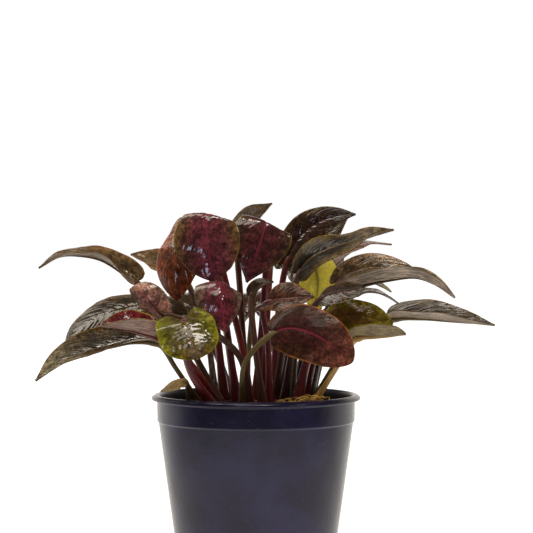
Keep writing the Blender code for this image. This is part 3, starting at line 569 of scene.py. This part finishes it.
def rings(places, radius, up, side, angle, shape=1.0):
    """A ring of points around each place, at the given angles from up towards side."""
    upwards = (np.cos(angle) * shape)[None, :, None] * up[:, None]
    sideways = (np.sin(angle) * shape)[None, :, None] * side[:, None]
    return places[:, None] + radius[:, None, None] * (upwards + sideways)


def build_stalk(leaf, stalk, midrib, material, slot, slimness):
    """The stalk, sheathed at its foot and channelled above, running on as the rib under the blade."""
    length = path_length(stalk)
    run = np.linspace(-STALK_SINK, length, STALK_RINGS, endpoint=False)
    share = np.linspace(0, RIB_REACH, RIB_RINGS)
    places = at_lengths(stalk, run)
    centre, upward, _ = midrib_stations(leaf, midrib, share)
    rib = (1 - share / RIB_REACH)**0.75 * (0.55 + 0.45 * np.exp(-share / 0.12))
    rib = STALK_TOP_RADIUS * (0.9 * rib + 0.08)
    climb = np.clip(run / length, 0, 1)
    rng = own_random(leaf.name + "_stalk")
    sheath = 1 + 0.3 * np.exp(-(climb / 0.16)**2) * rng.uniform(0.8, 1.2)
    stem = (STALK_FOOT_RADIUS + (STALK_TOP_RADIUS - STALK_FOOT_RADIUS) * climb**0.6) * sheath * 0.92
    stem = stem * (slimness + (1 - slimness) * climb**3)
    _, across = carried_normals(places, upward[0], STALK_RINGS - 1)
    lower = 0.8 * rib * np.clip(share / 0.06 + 0.35, 0, 1)
    below = centre - upward * lower[:, None]
    drop = np.clip((run - (length - BEND_LENGTH)) / BEND_LENGTH, 0, 1)**2 * lower[0]
    places = np.vstack([places - across * drop[:, None], below])
    radius = np.concatenate([stem, rib])
    up = np.vstack([across, upward])
    tangent = unit(np.gradient(places, axis=0))
    up = unit(up - np.sum(up * tangent, axis=1, keepdims=True) * tangent)
    side = np.cross(tangent, up)
    angle = np.linspace(0, TURN, STALK_SIDES + 1)
    shape = 1 - CHANNEL_DEPTH * np.exp(-((np.minimum(angle, TURN - angle)) / 0.55)**2)
    shape = shape * (1 + FLUTE_DEPTH * np.cos(5 * angle + rng.uniform(0, 6)))
    points = rings(places, radius, up, side, angle, shape)
    along = np.concatenate([climb, 1 + share * path_length(midrib) / length])
    uv = np.stack(np.broadcast_arrays(angle[None] / TURN, along[:, None]), -1)
    mesh = grid_mesh(leaf.name + "_stalk", points, uv)
    bm = opened(mesh, 0.001 * MM)
    close_up(bm)
    new_piece(leaf.name + "_stalk", finished(bm, mesh), [material], slot, leaf.name)


# Materials

class Nodes:
    """Short ways to add nodes to one material or world."""

    def __init__(self, owner, shader="Principled BSDF", output="Material Output"):
        owner.use_nodes = True
        self.owner = owner
        self.tree = owner.node_tree
        self.shader = self.tree.nodes[shader]
        self.output = self.tree.nodes[output]

    def put(self, node, socket, value):
        if isinstance(value, bpy.types.NodeSocket):
            self.tree.links.new(value, node.inputs[socket])
        else:
            node.inputs[socket].default_value = value

    def set(self, **sockets):
        for name, value in sockets.items():
            self.put(self.shader, name.replace("_", " "), value)

    def add(self, kind, inputs=None, **settings):
        node = self.tree.nodes.new("ShaderNode" + kind)
        for key, value in settings.items():
            setattr(node, key, value)
        for socket, value in (inputs or {}).items():
            self.put(node, socket, value)
        return node

    def math(self, operation, a, b=0.0, c=0.0):
        return self.add("Math", {0: a, 1: b, 2: c}, operation=operation).outputs[0]

    def plus(self, a, b):
        return self.math("ADD", a, b)

    def less(self, a, b):
        return self.math("SUBTRACT", a, b)

    def times(self, a, b):
        return self.math("MULTIPLY", a, b)

    def ramp(self, value, low, high, start=0.0, end=1.0, how="SMOOTHSTEP"):
        """Runs from start at low to end at high and stays level beyond."""
        ends = {"Value": value, "From Min": low, "From Max": high, "To Min": start, "To Max": end}
        return self.add("MapRange", ends, interpolation_type=how).outputs["Result"]

    def mix(self, factor, a, b, how="MIX"):
        return self.add("Mix", {0: factor, 6: a, 7: b}, data_type="RGBA", blend_type=how).outputs[2]

    def place(self):
        """Where a point lies on its object."""
        return self.add("TexCoord").outputs["Object"]

    def split(self, vector):
        return self.add("SeparateXYZ", {0: vector}).outputs

    def noise(self, vector, scale, detail=3.0, rough=0.6, stretch=None):
        if stretch:
            vector = self.add("Mapping", {"Vector": vector, "Scale": stretch}).outputs[0]
        grain = {"Vector": vector, "Scale": scale, "Detail": detail, "Roughness": rough}
        return self.add("TexNoise", grain).outputs["Fac"]

    def cells(self, vector, scale):
        return self.add("TexVoronoi", {"Vector": vector, "Scale": scale}).outputs["Distance"]

    def bump(self, height, distance, strength=1.0, normal=None):
        node = self.add("Bump", {"Height": height, "Distance": distance, "Strength": strength})
        if normal:
            self.put(node, "Normal", normal)
        return node.outputs[0]

    def glowing(self, colour, bump, share):
        """Lets a share of the light through the leaf."""
        light = self.add("BsdfTranslucent", {"Color": colour, "Normal": bump})
        both = self.add("MixShader", {0: share, 1: self.shader.outputs[0], 2: light.outputs[0]})
        self.put(self.output, "Surface", both.outputs[0])

    def seen_and_lit(self, lit):
        """The shader is what the camera sees, and lit is what lights the plant."""
        ray = self.add("LightPath").outputs["Is Camera Ray"]
        both = self.add("MixShader", {0: ray, 1: lit.outputs[0], 2: self.shader.outputs[0]})
        self.put(self.output, "Surface", both.outputs[0])


def new_material(name):
    return Nodes(bpy.data.materials.new(name))


def screen(colour, lift=1.0):
    """A screen colour (0 to 255) as Blender's linear one."""
    linear = [((c / 255 + 0.055) / 1.055)**2.4 if c > 10 else c / 255 / 12.92 for c in colour]
    return (*[min(1.0, c * lift) for c in linear], 1)


def leaf_coordinates(n):
    """Shares across the blade (-1 to 1), away from the midrib and along, and the side veins' phase."""
    across, along, _ = n.split(n.add("UVMap", uv_map="leaf").outputs[0])
    signed = n.math("MULTIPLY_ADD", across, 2.0, -1.0)
    side = n.math("ABSOLUTE", signed)
    lean = n.times(n.math("POWER", side, 1.3), VEIN_LEAN)
    return signed, side, along, n.less(along, lean)


def streaks(n, signed, phase, fine, coarse, detail=4.0):
    """Noise drawn out along the side veins."""
    vector = n.add("CombineXYZ", {0: n.times(signed, coarse), 1: n.times(phase, fine)})
    return n.noise(vector.outputs[0], 1.0, detail)


def upper_material(name, look, lift):
    """Mottled and veined, under a wet film that is dry in places."""
    n = new_material(name)
    signed, side, along, phase = leaf_coordinates(n)
    place = n.place()
    inner, outer, tip, midrib, edge = [
        screen(look[part], lift) for part in ("inner", "outer", "tip", "midrib", "margin")]
    cloud = n.noise(place, 190.0, detail=4.0)
    drift = n.times(n.less(cloud, 0.5), 0.5)
    lines = streaks(n, signed, phase, 90.0, 3.0)
    colour = n.mix(n.ramp(n.plus(side, drift), 0.35, 0.95), inner, outer)
    # Towards the tip; a pale silvery tip colour given to a single leaf is a painted highlight
    colour = n.mix(n.ramp(along, 0.45, 1.0, end=0.8), colour, tip)
    mottle = look.get("mottle", 1.0)
    patches = n.ramp(n.noise(place, 460.0, detail=5.0, rough=0.7), 0.36, 0.64)
    colour = n.mix(mottle, colour, n.mix(patches, PATCH_DARK, PATCH_LIGHT), "MULTIPLY")
    grain = n.ramp(n.noise(place, 1300.0), 0.4, 0.62)
    colour = n.mix(mottle, colour, n.mix(grain, GRAIN_DARK, GRAIN_LIGHT), "MULTIPLY")
    colour = n.mix(n.ramp(lines, 0.52, 0.75, end=0.35), colour, screen(look["midrib"], 0.8 * lift))
    colour = n.mix(n.ramp(n.cells(place, 2200.0), 0.2, 0.7, end=0.11), colour, CELL_DARK)
    rib = n.times(n.ramp(side, 0.055, 0.015), n.ramp(along, 1.0, 0.5, end=0.75))
    colour = n.mix(rib, colour, midrib)
    margin = n.ramp(n.plus(side, n.times(n.noise(place, 900.0), 0.04)), 0.955, 1.0)
    broken = n.ramp(n.noise(place, 260.0), 0.35, 0.6, 0.2, 0.95)
    colour = n.mix(n.times(margin, broken), colour, edge)
    rough = n.plus(n.plus(n.times(lines, 0.22), n.times(cloud, 0.16)), 0.3)
    n.set(Base_Color=colour, Roughness=rough, Specular_IOR_Level=0.1, Coat_Roughness=0.06, Coat_IOR=1.45)
    wet = 1 - DRIEST * look.get("dry", 0.0)
    if "dry_tip" in look:
        start = look["dry_tip"]
        wet = n.ramp(n.plus(along, drift), start, start + 0.05, 1.0, 1 - DRIEST)
    if "dry_side" in look:
        way, start, end = look["dry_side"]
        wet = n.ramp(n.times(signed, way), start, end, 1.0, 1 - DRIEST)
    pleats = streaks(n, signed, phase, 17.0, 1.0, detail=1.2)
    film = n.bump(pleats, 0.00032 * look["pleats"], 0.9)
    film = n.bump(n.noise(place, 220.0, detail=2.0, rough=0.5), 0.0005, 0.5, film)
    bump = n.bump(lines, 0.00008, 0.8, film)
    bump = n.bump(n.cells(place, 1500.0), 0.00006, 0.7, bump)
    n.set(Coat_Weight=wet, Normal=bump, Coat_Normal=film)
    n.glowing(n.mix(0.5, colour, edge), bump, look["glow"])
    return n.owner


def under_material(name, look, lift):
    """Pale and silky, with darker lines along the side veins."""
    n = new_material(name)
    signed, side, _, phase = leaf_coordinates(n)
    lines = streaks(n, signed, phase, 5.0, 11.0, detail=3.0)
    cloud = n.noise(n.place(), 300.0, detail=4.0)
    # The underside colour; one made paler for a single leaf is a painted highlight
    pale = screen(look["under"], 1.15 * lift)
    colour = n.mix(n.ramp(cloud, 0.35, 0.65), pale, screen(look["under"], 0.66 * lift))
    colour = n.mix(n.ramp(lines, 0.45, 0.57, end=0.72), colour, screen(look["outer"], 0.8))
    edge = n.times(n.ramp(side, 0.965, 1.0), n.ramp(cloud, 0.35, 0.6))
    colour = n.mix(edge, colour, screen(look["margin"], lift))
    bump = n.bump(lines, 0.0005, 0.9)
    n.set(Base_Color=colour, Roughness=n.math("MULTIPLY_ADD", lines, 0.2, 0.35), Coat_Weight=0.5,
          Coat_Roughness=0.12, Normal=bump, Coat_Normal=bump)
    n.glowing(screen(look["outer"], lift), bump, look["glow"])
    return n.owner


def margin_material(name, look, lift):
    n = new_material(name)
    spots = n.ramp(n.noise(n.place(), 900.0), 0.35, 0.65)
    colour = n.mix(spots, screen(look["margin"], lift), screen(look["outer"], lift))
    n.set(Base_Color=colour, Roughness=0.35)
    n.glowing(colour, n.bump(spots, 0.0001, 0.5), 0.3)
    return n.owner


def stalk_material(name, look):
    """Streaked lengthwise, blotched, and glossy."""
    n = new_material(name)
    uv = n.add("UVMap", uv_map="leaf").outputs[0]
    along = n.split(uv)[1]
    colour = n.mix(n.ramp(along, 0.02, 0.35), screen(look["foot"]), screen(look["middle"]))
    colour = n.mix(n.ramp(along, 0.6, 1.05), colour, screen(look["top"]))
    lines = n.noise(uv, 1.0, detail=4.0, stretch=(22.0, 3.0, 1.0))
    patches = n.noise(n.place(), 260.0, detail=4.0)
    colour = n.mix(n.ramp(lines, 0.45, 0.6, end=0.525), colour, STALK_DARK)
    colour = n.mix(n.ramp(patches, 0.5, 0.7, end=0.15), colour, STALK_WARM)
    bump = n.bump(lines, 0.0003, 0.8)
    n.set(Base_Color=colour, Roughness=n.math("MULTIPLY_ADD", lines, 0.25, 0.32), Specular_IOR_Level=0.1,
          Coat_Weight=0.6, Coat_Roughness=0.06, Normal=bump, Coat_Normal=bump)
    return n.owner


def grainy_material(name, dark, light, grain, patch=None, **sockets):
    """Dark and light by a grain of (scale, detail, roughness, low, high), blotched by a patch of (scale,
    roughness, low, high, strength, colour) where there is one."""
    n = new_material(name)
    place = n.place()
    scale, detail, rough, low, high = grain
    height = n.noise(place, scale, detail, rough)
    colour = n.mix(n.ramp(height, low, high), screen(dark), screen(light))
    if patch:
        scale, rough, low, high, strength, blotch = patch
        blotches = n.ramp(n.noise(place, scale, rough=rough), low, high, end=strength)
        colour = n.mix(blotches, colour, screen(blotch))
    n.set(Base_Color=colour, **sockets)
    return n, height


def rhizome_material():
    n, grain = grainy_material("rhizome", (58, 26, 22), (112, 56, 38), (500.0, 6.0, 0.65, 0.35, 0.68),
                               (160.0, 0.5, 0.5, 0.7, 1.0, (70, 54, 30)), Roughness=0.6)
    n.set(Normal=n.bump(grain, 0.0006, 0.8))
    return n.owner


def medium_material():
    n, grain = grainy_material("growing_medium", (9, 6, 5), (58, 42, 30), (900.0, 5.0, 0.7, 0.4, 0.72),
                               (150.0, 0.6, 0.55, 0.75, 0.5, (44, 42, 22)), Roughness=0.85,
                               Specular_IOR_Level=0.15)
    n.set(Normal=n.bump(grain, 0.0005, 0.9))
    return n.owner


def fibre_material(name, dark, light):
    n, _ = grainy_material(name, dark, light, (420.0, 4.0, 0.6, 0.35, 0.65), Roughness=0.65)
    n.set(Normal=n.bump(n.noise(n.place(), 2500.0, detail=2.0, rough=0.5), 0.0001, 0.5))
    return n.owner


def pot_material():
    """Navy plastic, a little scuffed, and duller inside, where painted shade makes it almost black."""
    n = new_material("pot_plastic")
    place = n.place()
    cloud = n.noise(place, 60.0, detail=4.0)
    grain = n.noise(place, 1500.0)
    scuff = n.ramp(n.noise(place, 420.0, detail=6.0, rough=0.7, stretch=(1.0, 1.0, 2.5)), 0.6, 0.78)
    colour = n.mix(n.ramp(cloud, 0.35, 0.65), screen((26, 23, 46)), screen((42, 38, 72)))
    colour = n.mix(n.times(scuff, 0.3), colour, screen((84, 80, 104)))
    rough = n.plus(n.plus(n.times(grain, 0.06), n.times(scuff, 0.2)), 0.17)
    bump = n.bump(cloud, 0.0006, 0.3, n.bump(grain, 0.0001, 0.35))
    x, y, z = n.split(place)
    flat = n.add("CombineXYZ", {0: x, 1: y}).outputs[0]
    away = n.add("VectorMath", {0: flat}, operation="LENGTH").outputs["Value"]
    # Less how far the wall widens upwards, its inner side lies within 19.4 mm and its outer side beyond
    # about 19.8 mm
    inside = n.ramp(n.less(away, n.times(z, 0.116)), 0.0198, 0.0194)
    # The inner side is coloured with painted shade, near black, and is also made duller
    n.set(Base_Color=n.mix(inside, colour, POT_INSIDE_SHADE), Roughness=n.plus(rough, n.times(inside, 0.5)),
          Normal=bump, Specular_IOR_Level=0.35)
    return n.owner


# The pot and what lies in it

def turned(name, profile, sides):
    """A mesh turned about Z from (radius, height) points in metres that run around its wall."""
    bm = bmesh.new()
    verts = [bm.verts.new((r, 0, z)) for r, z in profile]
    for a, b in zip(verts, verts[1:]):
        bm.edges.new((a, b))
    bmesh.ops.spin(bm, geom=bm.verts[:] + bm.edges[:], cent=(0, 0, 0), axis=(0, 0, 1), angle=TURN,
                   steps=sides, use_merge=True, use_duplicate=False)
    bmesh.ops.remove_doubles(bm, verts=bm.verts, dist=1e-7)
    bmesh.ops.recalc_face_normals(bm, faces=bm.faces)
    return finished(bm, bpy.data.meshes.new(name))


def rounded(points, radius, steps=4):
    """A profile with each inner corner rounded."""
    made = [points[0]]
    for before, corner, after in zip(points, points[1:], points[2:]):
        c = np.array(corner, float)
        a = np.array(before, float) - c
        b = np.array(after, float) - c
        reach = min(radius, 0.45 * np.linalg.norm(a), 0.45 * np.linalg.norm(b))
        a = c + unit(a) * reach
        b = c + unit(b) * reach
        for k in range(steps + 1):
            t = k / steps
            made.append(tuple(a * (1 - t)**2 + 2 * c * t * (1 - t) + b * t**2))
    return made + [points[-1]]


def build_pot(material):
    """The wall in section, from the floor's inner middle over the rim to its outer middle."""
    _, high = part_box("pot")
    rim = high.x
    top = high.z
    wall = 1.0 * MM
    under_lip = rim - 1.5 * MM
    base = 20.2 * MM
    floor = 1.2 * MM
    hollow = 0.5 * MM
    lip = 1.4 * MM
    collar = 7.0 * MM
    outline = [
        (0, floor), (base - wall, floor), (under_lip - wall, top - lip),
        (rim - 1.9 * MM, top - 0.1 * MM), (rim - 1.1 * MM, top), (rim, top - 0.7 * MM), (rim, top - lip),
        (under_lip + 0.1 * MM, top - lip - 0.15 * MM), (under_lip, top - collar),
        (under_lip - 0.35 * MM, top - collar - 0.3 * MM),
        (base + 0.05 * MM, 4.0 * MM), (base - 0.1 * MM, 0.7 * MM), (base - 0.8 * MM, 0),
        (base - 2.4 * MM, 0), (base - 3.0 * MM, hollow), (0, hollow),
    ]
    mesh = turned("nursery_pot", rounded(outline, 0.35 * MM), 160)
    new_piece("nursery_pot", mesh, [material], "pot_plastic", "pot")


def sag(share):
    """How far the bed sinks at a share of its radius."""
    return BED_SAG * MM * max(0.0, (share - 0.85) / 0.15)


def build_medium(material):
    """A crumbly bed that fills the pot, with loose crumbs on it."""
    low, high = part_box("growing_medium")
    reach = high.x - 0.3 * MM
    verts = []
    for r in np.linspace(0, reach, BED_RINGS):
        for a in np.linspace(0, TURN, BED_SIDES, endpoint=False):
            x, y = r * math.cos(a), r * math.sin(a)
            lump = noise.fractal(Vector((x, y, 0)) * 420, 0.9, 2.1, 4) * 0.35 * MM
            verts.append((x, y, high.z - 0.15 * MM + lump - sag(r / reach)))
    faces = []
    for i in range(0, (BED_RINGS - 1) * BED_SIDES, BED_SIDES):
        for k in range(BED_SIDES):
            j = (k + 1) % BED_SIDES
            faces.append((i + k, i + BED_SIDES + k, i + BED_SIDES + j, i + j))
    mesh = bpy.data.meshes.new("medium_bed")
    mesh.from_pydata(verts, [], faces)
    bm = opened(mesh, 1e-7)
    rim_edges = [e for e in bm.edges if e.is_boundary]
    down = bmesh.ops.extrude_edge_only(bm, edges=rim_edges)["geom"]
    shrink = BED_FOOT * MM / reach
    for vert in [g for g in down if isinstance(g, bmesh.types.BMVert)]:
        vert.co = (vert.co.x * shrink, vert.co.y * shrink, low.z)
    close_up(bm)
    new_piece("medium_bed", finished(bm, mesh), [material], "growing_medium", "growing_medium")

    rng = own_random("crumbs")
    bm = bmesh.new()
    for _ in range(CRUMBS):
        r = reach * math.sqrt(rng.uniform(0, 0.97))
        a = rng.uniform(0, TURN)
        size = rng.uniform(0.25, 0.75) * MM
        made = bmesh.ops.create_icosphere(bm, subdivisions=1, radius=size)["verts"]
        for vert in made:
            vert.co *= 1 + 0.35 * noise.noise(vert.co * 1800 + Vector((a, r * 500, 0)) * 9)
            vert.co.z *= 0.7
        bmesh.ops.rotate(bm, verts=made, matrix=Matrix.Rotation(rng.uniform(0, 6), 3, "Z"))
        place = (r * math.cos(a), r * math.sin(a), high.z - sag(r / reach) + 0.1 * MM)
        bmesh.ops.translate(bm, verts=made, vec=place)
    mesh = finished(bm, bpy.data.meshes.new("medium_crumbs"))
    new_piece("medium_crumbs", mesh, [material], "growing_medium")


def strands_mesh(name, paths, radii):
    """Thin tubes of four sides along the given paths, tapered at both ends."""
    sides = 4
    angle = TURN * np.arange(sides) / sides
    verts, faces = [], []
    for path, radius in zip(paths, radii):
        path = np.asarray(path, float)
        tangent, up = carried_normals(path, (0.3, 0.2, 1.0), 0)
        width = radius * (0.35 + 0.65 * np.sin(math.pi * np.linspace(0, 1, len(path)))**0.5)
        points = rings(path, width, up, np.cross(tangent, up), angle)
        first = len(verts)
        verts.extend((points.reshape(-1, 3) * MM).tolist())
        last = len(verts) - sides
        for k in range(first, last, sides):
            for j in range(sides):
                m = (j + 1) % sides
                faces.append((k + j, k + m, k + sides + m, k + sides + j))
        faces.append(tuple(first + j for j in reversed(range(sides))))
        faces.append(tuple(last + j for j in range(sides)))
    mesh = bpy.data.meshes.new(name)
    mesh.from_pydata(verts, [], faces)
    mesh.shade_smooth()
    return mesh


def curled_strand(rng, start, heading, length, lift, curl, floor_z):
    """A loose fibre that leaves start, wanders, and falls back to the medium."""
    direction = unit(np.array([math.cos(heading), math.sin(heading), lift]))
    place = np.array(start, float)
    path = [place.copy()]
    turn = rng.uniform(-curl, curl)
    for _ in range(STRAND_STEPS):
        turn += rng.uniform(-0.25, 0.25) * curl
        c, s = math.cos(turn), math.sin(turn)
        direction = unit(np.array([c * direction[0] - s * direction[1], s * direction[0] + c * direction[1],
                                   direction[2] - 1.6 * lift / STRAND_STEPS]))
        place = place + direction * length / STRAND_STEPS
        place[2] = max(place[2], floor_z)
        path.append(place.copy())
    return path


def keep_inside(paths):
    """Moves the points that lie beyond the strands' reach back to it."""
    for path in paths:
        for point in path:
            away = math.hypot(point[0], point[1])
            if away > STRAND_REACH:
                point[0] *= STRAND_REACH / away
                point[1] *= STRAND_REACH / away


def build_moss(moss, fibre):
    """Fibres and moss on the medium: a tuft in front on the right, and strands all over."""
    low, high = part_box("moss_tuft")
    centre = (np.array(low) + np.array(high)) / 2 / MM
    ground = low.z / MM - 0.1
    rng = own_random("moss")
    angle = math.atan2(centre[1], centre[0])
    paths, radii = [], []
    for _ in range(MOSS_STRANDS):
        swing = angle + rng.normal(0, 0.17)
        reach = np.hypot(centre[0], centre[1]) + rng.normal(0, 1.3)
        reach = min(reach, MOSS_OUTERMOST)
        start = (reach * math.cos(swing), reach * math.sin(swing), ground + rng.uniform(0, 3.2))
        heading = swing + rng.choice((-1, 1)) * rng.uniform(1.1, 2.0)
        length = rng.uniform(2.5, 6.5)
        paths.append(curled_strand(rng, start, heading, length, rng.uniform(0.3, 1.5), 0.42, ground))
        radii.append(rng.uniform(0.06, 0.13))
    keep_inside(paths)
    new_piece("moss_fibres", strands_mesh("moss_fibres", paths, radii), [moss], "moss", "moss_tuft")

    ground = ground - 0.2
    paths, radii = [], []
    for _ in range(LOOSE_STRANDS):
        swing = rng.uniform(0, TURN)
        reach = LOOSE_OUTERMOST * math.sqrt(rng.uniform(0.1, 1))
        start = (reach * math.cos(swing), reach * math.sin(swing), ground)
        heading = rng.uniform(0, 6.3)
        length = rng.uniform(3, 8)
        paths.append(curled_strand(rng, start, heading, length, rng.uniform(0, 0.4), 0.25, ground))
        radii.append(rng.uniform(0.07, 0.15))
    keep_inside(paths)
    new_piece("loose_fibres", strands_mesh("loose_fibres", paths, radii), [fibre], "moss")


def build_rhizome(name, feet, material):
    """Knobbly creeping stem under the feet: swollen joints in a chain, melted together."""
    low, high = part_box(name)
    middle = (low.z + high.z) / 2 / MM
    thick = (high.z - low.z) / 2 / MM
    rng = own_random(name)
    bm = bmesh.new()

    def knob(x, y, radius):
        made = bmesh.ops.create_icosphere(bm, subdivisions=2, radius=radius * MM)["verts"]
        for vert in made:
            vert.co.z *= thick / radius
        bmesh.ops.translate(bm, verts=made, vec=(x * MM, y * MM, middle * MM))

    left = [np.array(f, float) for f in feet]
    chain = [left.pop(int(np.argmin([f[0] + f[1] for f in left])))]
    while left:
        away = [np.linalg.norm(f - chain[-1]) for f in left]
        chain.append(left.pop(int(np.argmin(away))))
    for a, b in zip(chain, chain[1:] + chain[-1:]):
        steps = max(1, int(np.linalg.norm(b - a) / 1.1))
        for k in range(steps):
            x, y = a + (b - a) * k / steps
            knob(x, y, rng.uniform(1.25, 1.6))
        knob(a[0], a[1], 2.0)
    mesh = finished(bm, bpy.data.meshes.new(name + "_stem"))
    piece = new_piece(name + "_stem", mesh, [material], "rhizome", name)
    melt = piece.modifiers.new("Melt", "REMESH")
    melt.mode = "VOXEL"
    melt.voxel_size = 0.35 * MM
    melt.use_smooth_shade = True
    piece.modifiers.new("Smooth", "SMOOTH").iterations = 3


# Floor, lights and camera

def build_floor():
    """A plain white floor that lights the plant strongly only from close by and from behind."""
    bpy.ops.mesh.primitive_circle_add(vertices=96, radius=3.0, fill_type="NGON", location=(0, 0, 0))
    floor = bpy.context.object
    floor.name = "floor"
    n = new_material("floor")
    place = n.place()
    away = n.add("VectorMath", {0: place}, operation="LENGTH").outputs["Value"]
    n.set(Base_Color=(0.4, 0.4, 0.4, 1), Roughness=0.7, Emission_Color=(1, 1, 1, 1),
          Emission_Strength=n.ramp(away, 0.1, 0.5, 0.62, 1.0, "LINEAR"))
    lit = n.math("MAXIMUM", n.ramp(away, 0.17, 0.10), n.ramp(n.split(place)[1], -0.10, 0.12))
    strength = n.math("MULTIPLY_ADD", lit, 1.1, 0.08)
    n.seen_and_lit(n.add("Emission", {"Color": (1.0, 0.95, 0.88, 1), "Strength": strength}))
    floor.data.materials.append(n.owner)


def softbox(name, place, wide, high, radiance, colour, glossy=True):
    """An area light of the given brightness that looks at the plant."""
    data = bpy.data.lights.new(name, "AREA")
    data.shape = "RECTANGLE"
    data.size = wide
    data.size_y = high
    data.energy = radiance * math.pi * wide * high
    data.color = colour
    light = new_object(name, data, place, LIGHT_AIM)
    light.visible_camera = False
    light.visible_glossy = glossy


def build_lights():
    """Softboxes above, at the left, at the right and behind, two weak ones in front, and a white studio
    that lights the plant from low down behind it."""
    warm = (1.0, 0.92, 0.8)
    cool = (0.66, 0.74, 1.0)
    softbox("above", (0.14, -0.17, 0.95), 0.26, 0.13, 22.0, warm)
    softbox("above_wide", (-0.06, -0.4, 0.95), 0.34, 0.28, 6.5, warm)
    softbox("above_left", (-0.5, 0.2, 0.95), 0.34, 0.9, 6.5, warm)
    softbox("right", (1.1, -0.79, 0.95), 0.3, 0.2, 20.0, warm)
    softbox("above_behind", (0.0, 0.6, 0.8), 1.2, 0.4, 2.2, warm, glossy=False)
    softbox("front_cool", (-0.22, -0.85, 0.17), 0.10, 0.10, 10.0, cool)
    softbox("front_fill", (0.0, -0.9, 0.5), 0.9, 0.7, 0.7, warm, glossy=False)
    world = bpy.data.worlds.new("studio")
    bpy.context.scene.world = world
    n = Nodes(world, "Background", "World Output")
    n.set(Color=(1, 1, 1, 1))
    _, depth, height = n.split(n.add("TexCoord").outputs["Generated"])
    behind = n.ramp(depth, 0.0, 0.75, 0.04, 1.1)
    low = n.ramp(height, 0.34, 0.58, 1.0, 0.05)
    n.seen_and_lit(n.add("Background", {"Color": (1.0, 0.93, 0.85, 1), "Strength": n.times(behind, low)}))
    bpy.context.scene.view_settings.view_transform = "Standard"


def build_camera():
    data = bpy.data.cameras.new("camera")
    data.sensor_width = SENSOR
    data.lens = FOCAL_PIXELS / FRAME_PIXELS * SENSOR
    data.clip_start = CLIP_START
    bpy.context.scene.camera = new_object("camera", data, Vector(CAMERA_AT) * MM, Vector(CAMERA_AIM) * MM)


# The whole plant

def build_leaves():
    stalk_materials = {}
    for leaf in LEAVES:
        kind = leaf.stalk_look
        look = dict(zip(BLADE_LOOK_COLUMNS, BLADE_LOOKS[leaf.blade_look])) | EXTRAS.get(leaf.name, {})
        stalk_look = dict(zip(STALK_COLUMNS, STALK_LOOKS[kind]))
        lift = own_random(leaf.name + "_lift").uniform(0.9, 1.12)
        stalk, midrib = leaf_paths(leaf)
        materials = [upper_material(leaf.name + "_upper", look, lift),
                     under_material(leaf.name + "_under", look, lift),
                     margin_material(leaf.name + "_margin", look, lift)]
        build_blade(leaf, midrib, materials, look["slot"])
        if kind not in stalk_materials:
            stalk_materials[kind] = stalk_material("stalk_" + kind, stalk_look)
        build_stalk(leaf, stalk, midrib, stalk_materials[kind], look["slot"], stalk_look["slimness"])


def build_rhizomes():
    """A rhizome for each of the frame's, under the leaf feet that stand in its box."""
    bark = rhizome_material()
    for node in [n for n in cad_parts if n.startswith("rhizome")]:
        low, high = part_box(node)
        feet = [leaf.foot for leaf in LEAVES
                if low.x < leaf.foot[0] * MM < high.x and low.y < leaf.foot[1] * MM < high.y]
        build_rhizome(node, feet, bark)


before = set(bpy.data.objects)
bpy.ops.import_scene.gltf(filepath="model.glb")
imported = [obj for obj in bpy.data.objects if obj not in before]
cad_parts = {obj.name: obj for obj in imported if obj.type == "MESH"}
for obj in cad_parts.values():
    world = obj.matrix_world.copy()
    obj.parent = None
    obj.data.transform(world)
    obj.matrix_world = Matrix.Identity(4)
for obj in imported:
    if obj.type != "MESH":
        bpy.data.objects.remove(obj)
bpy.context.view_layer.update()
build_camera()
build_leaves()
soil = medium_material()
build_pot(pot_material())
build_medium(soil)
build_moss(fibre_material("moss", (110, 74, 24), (236, 190, 92)),
           fibre_material("fibre", (40, 28, 20), (96, 72, 44)))
build_rhizomes()
build_floor()
build_lights()
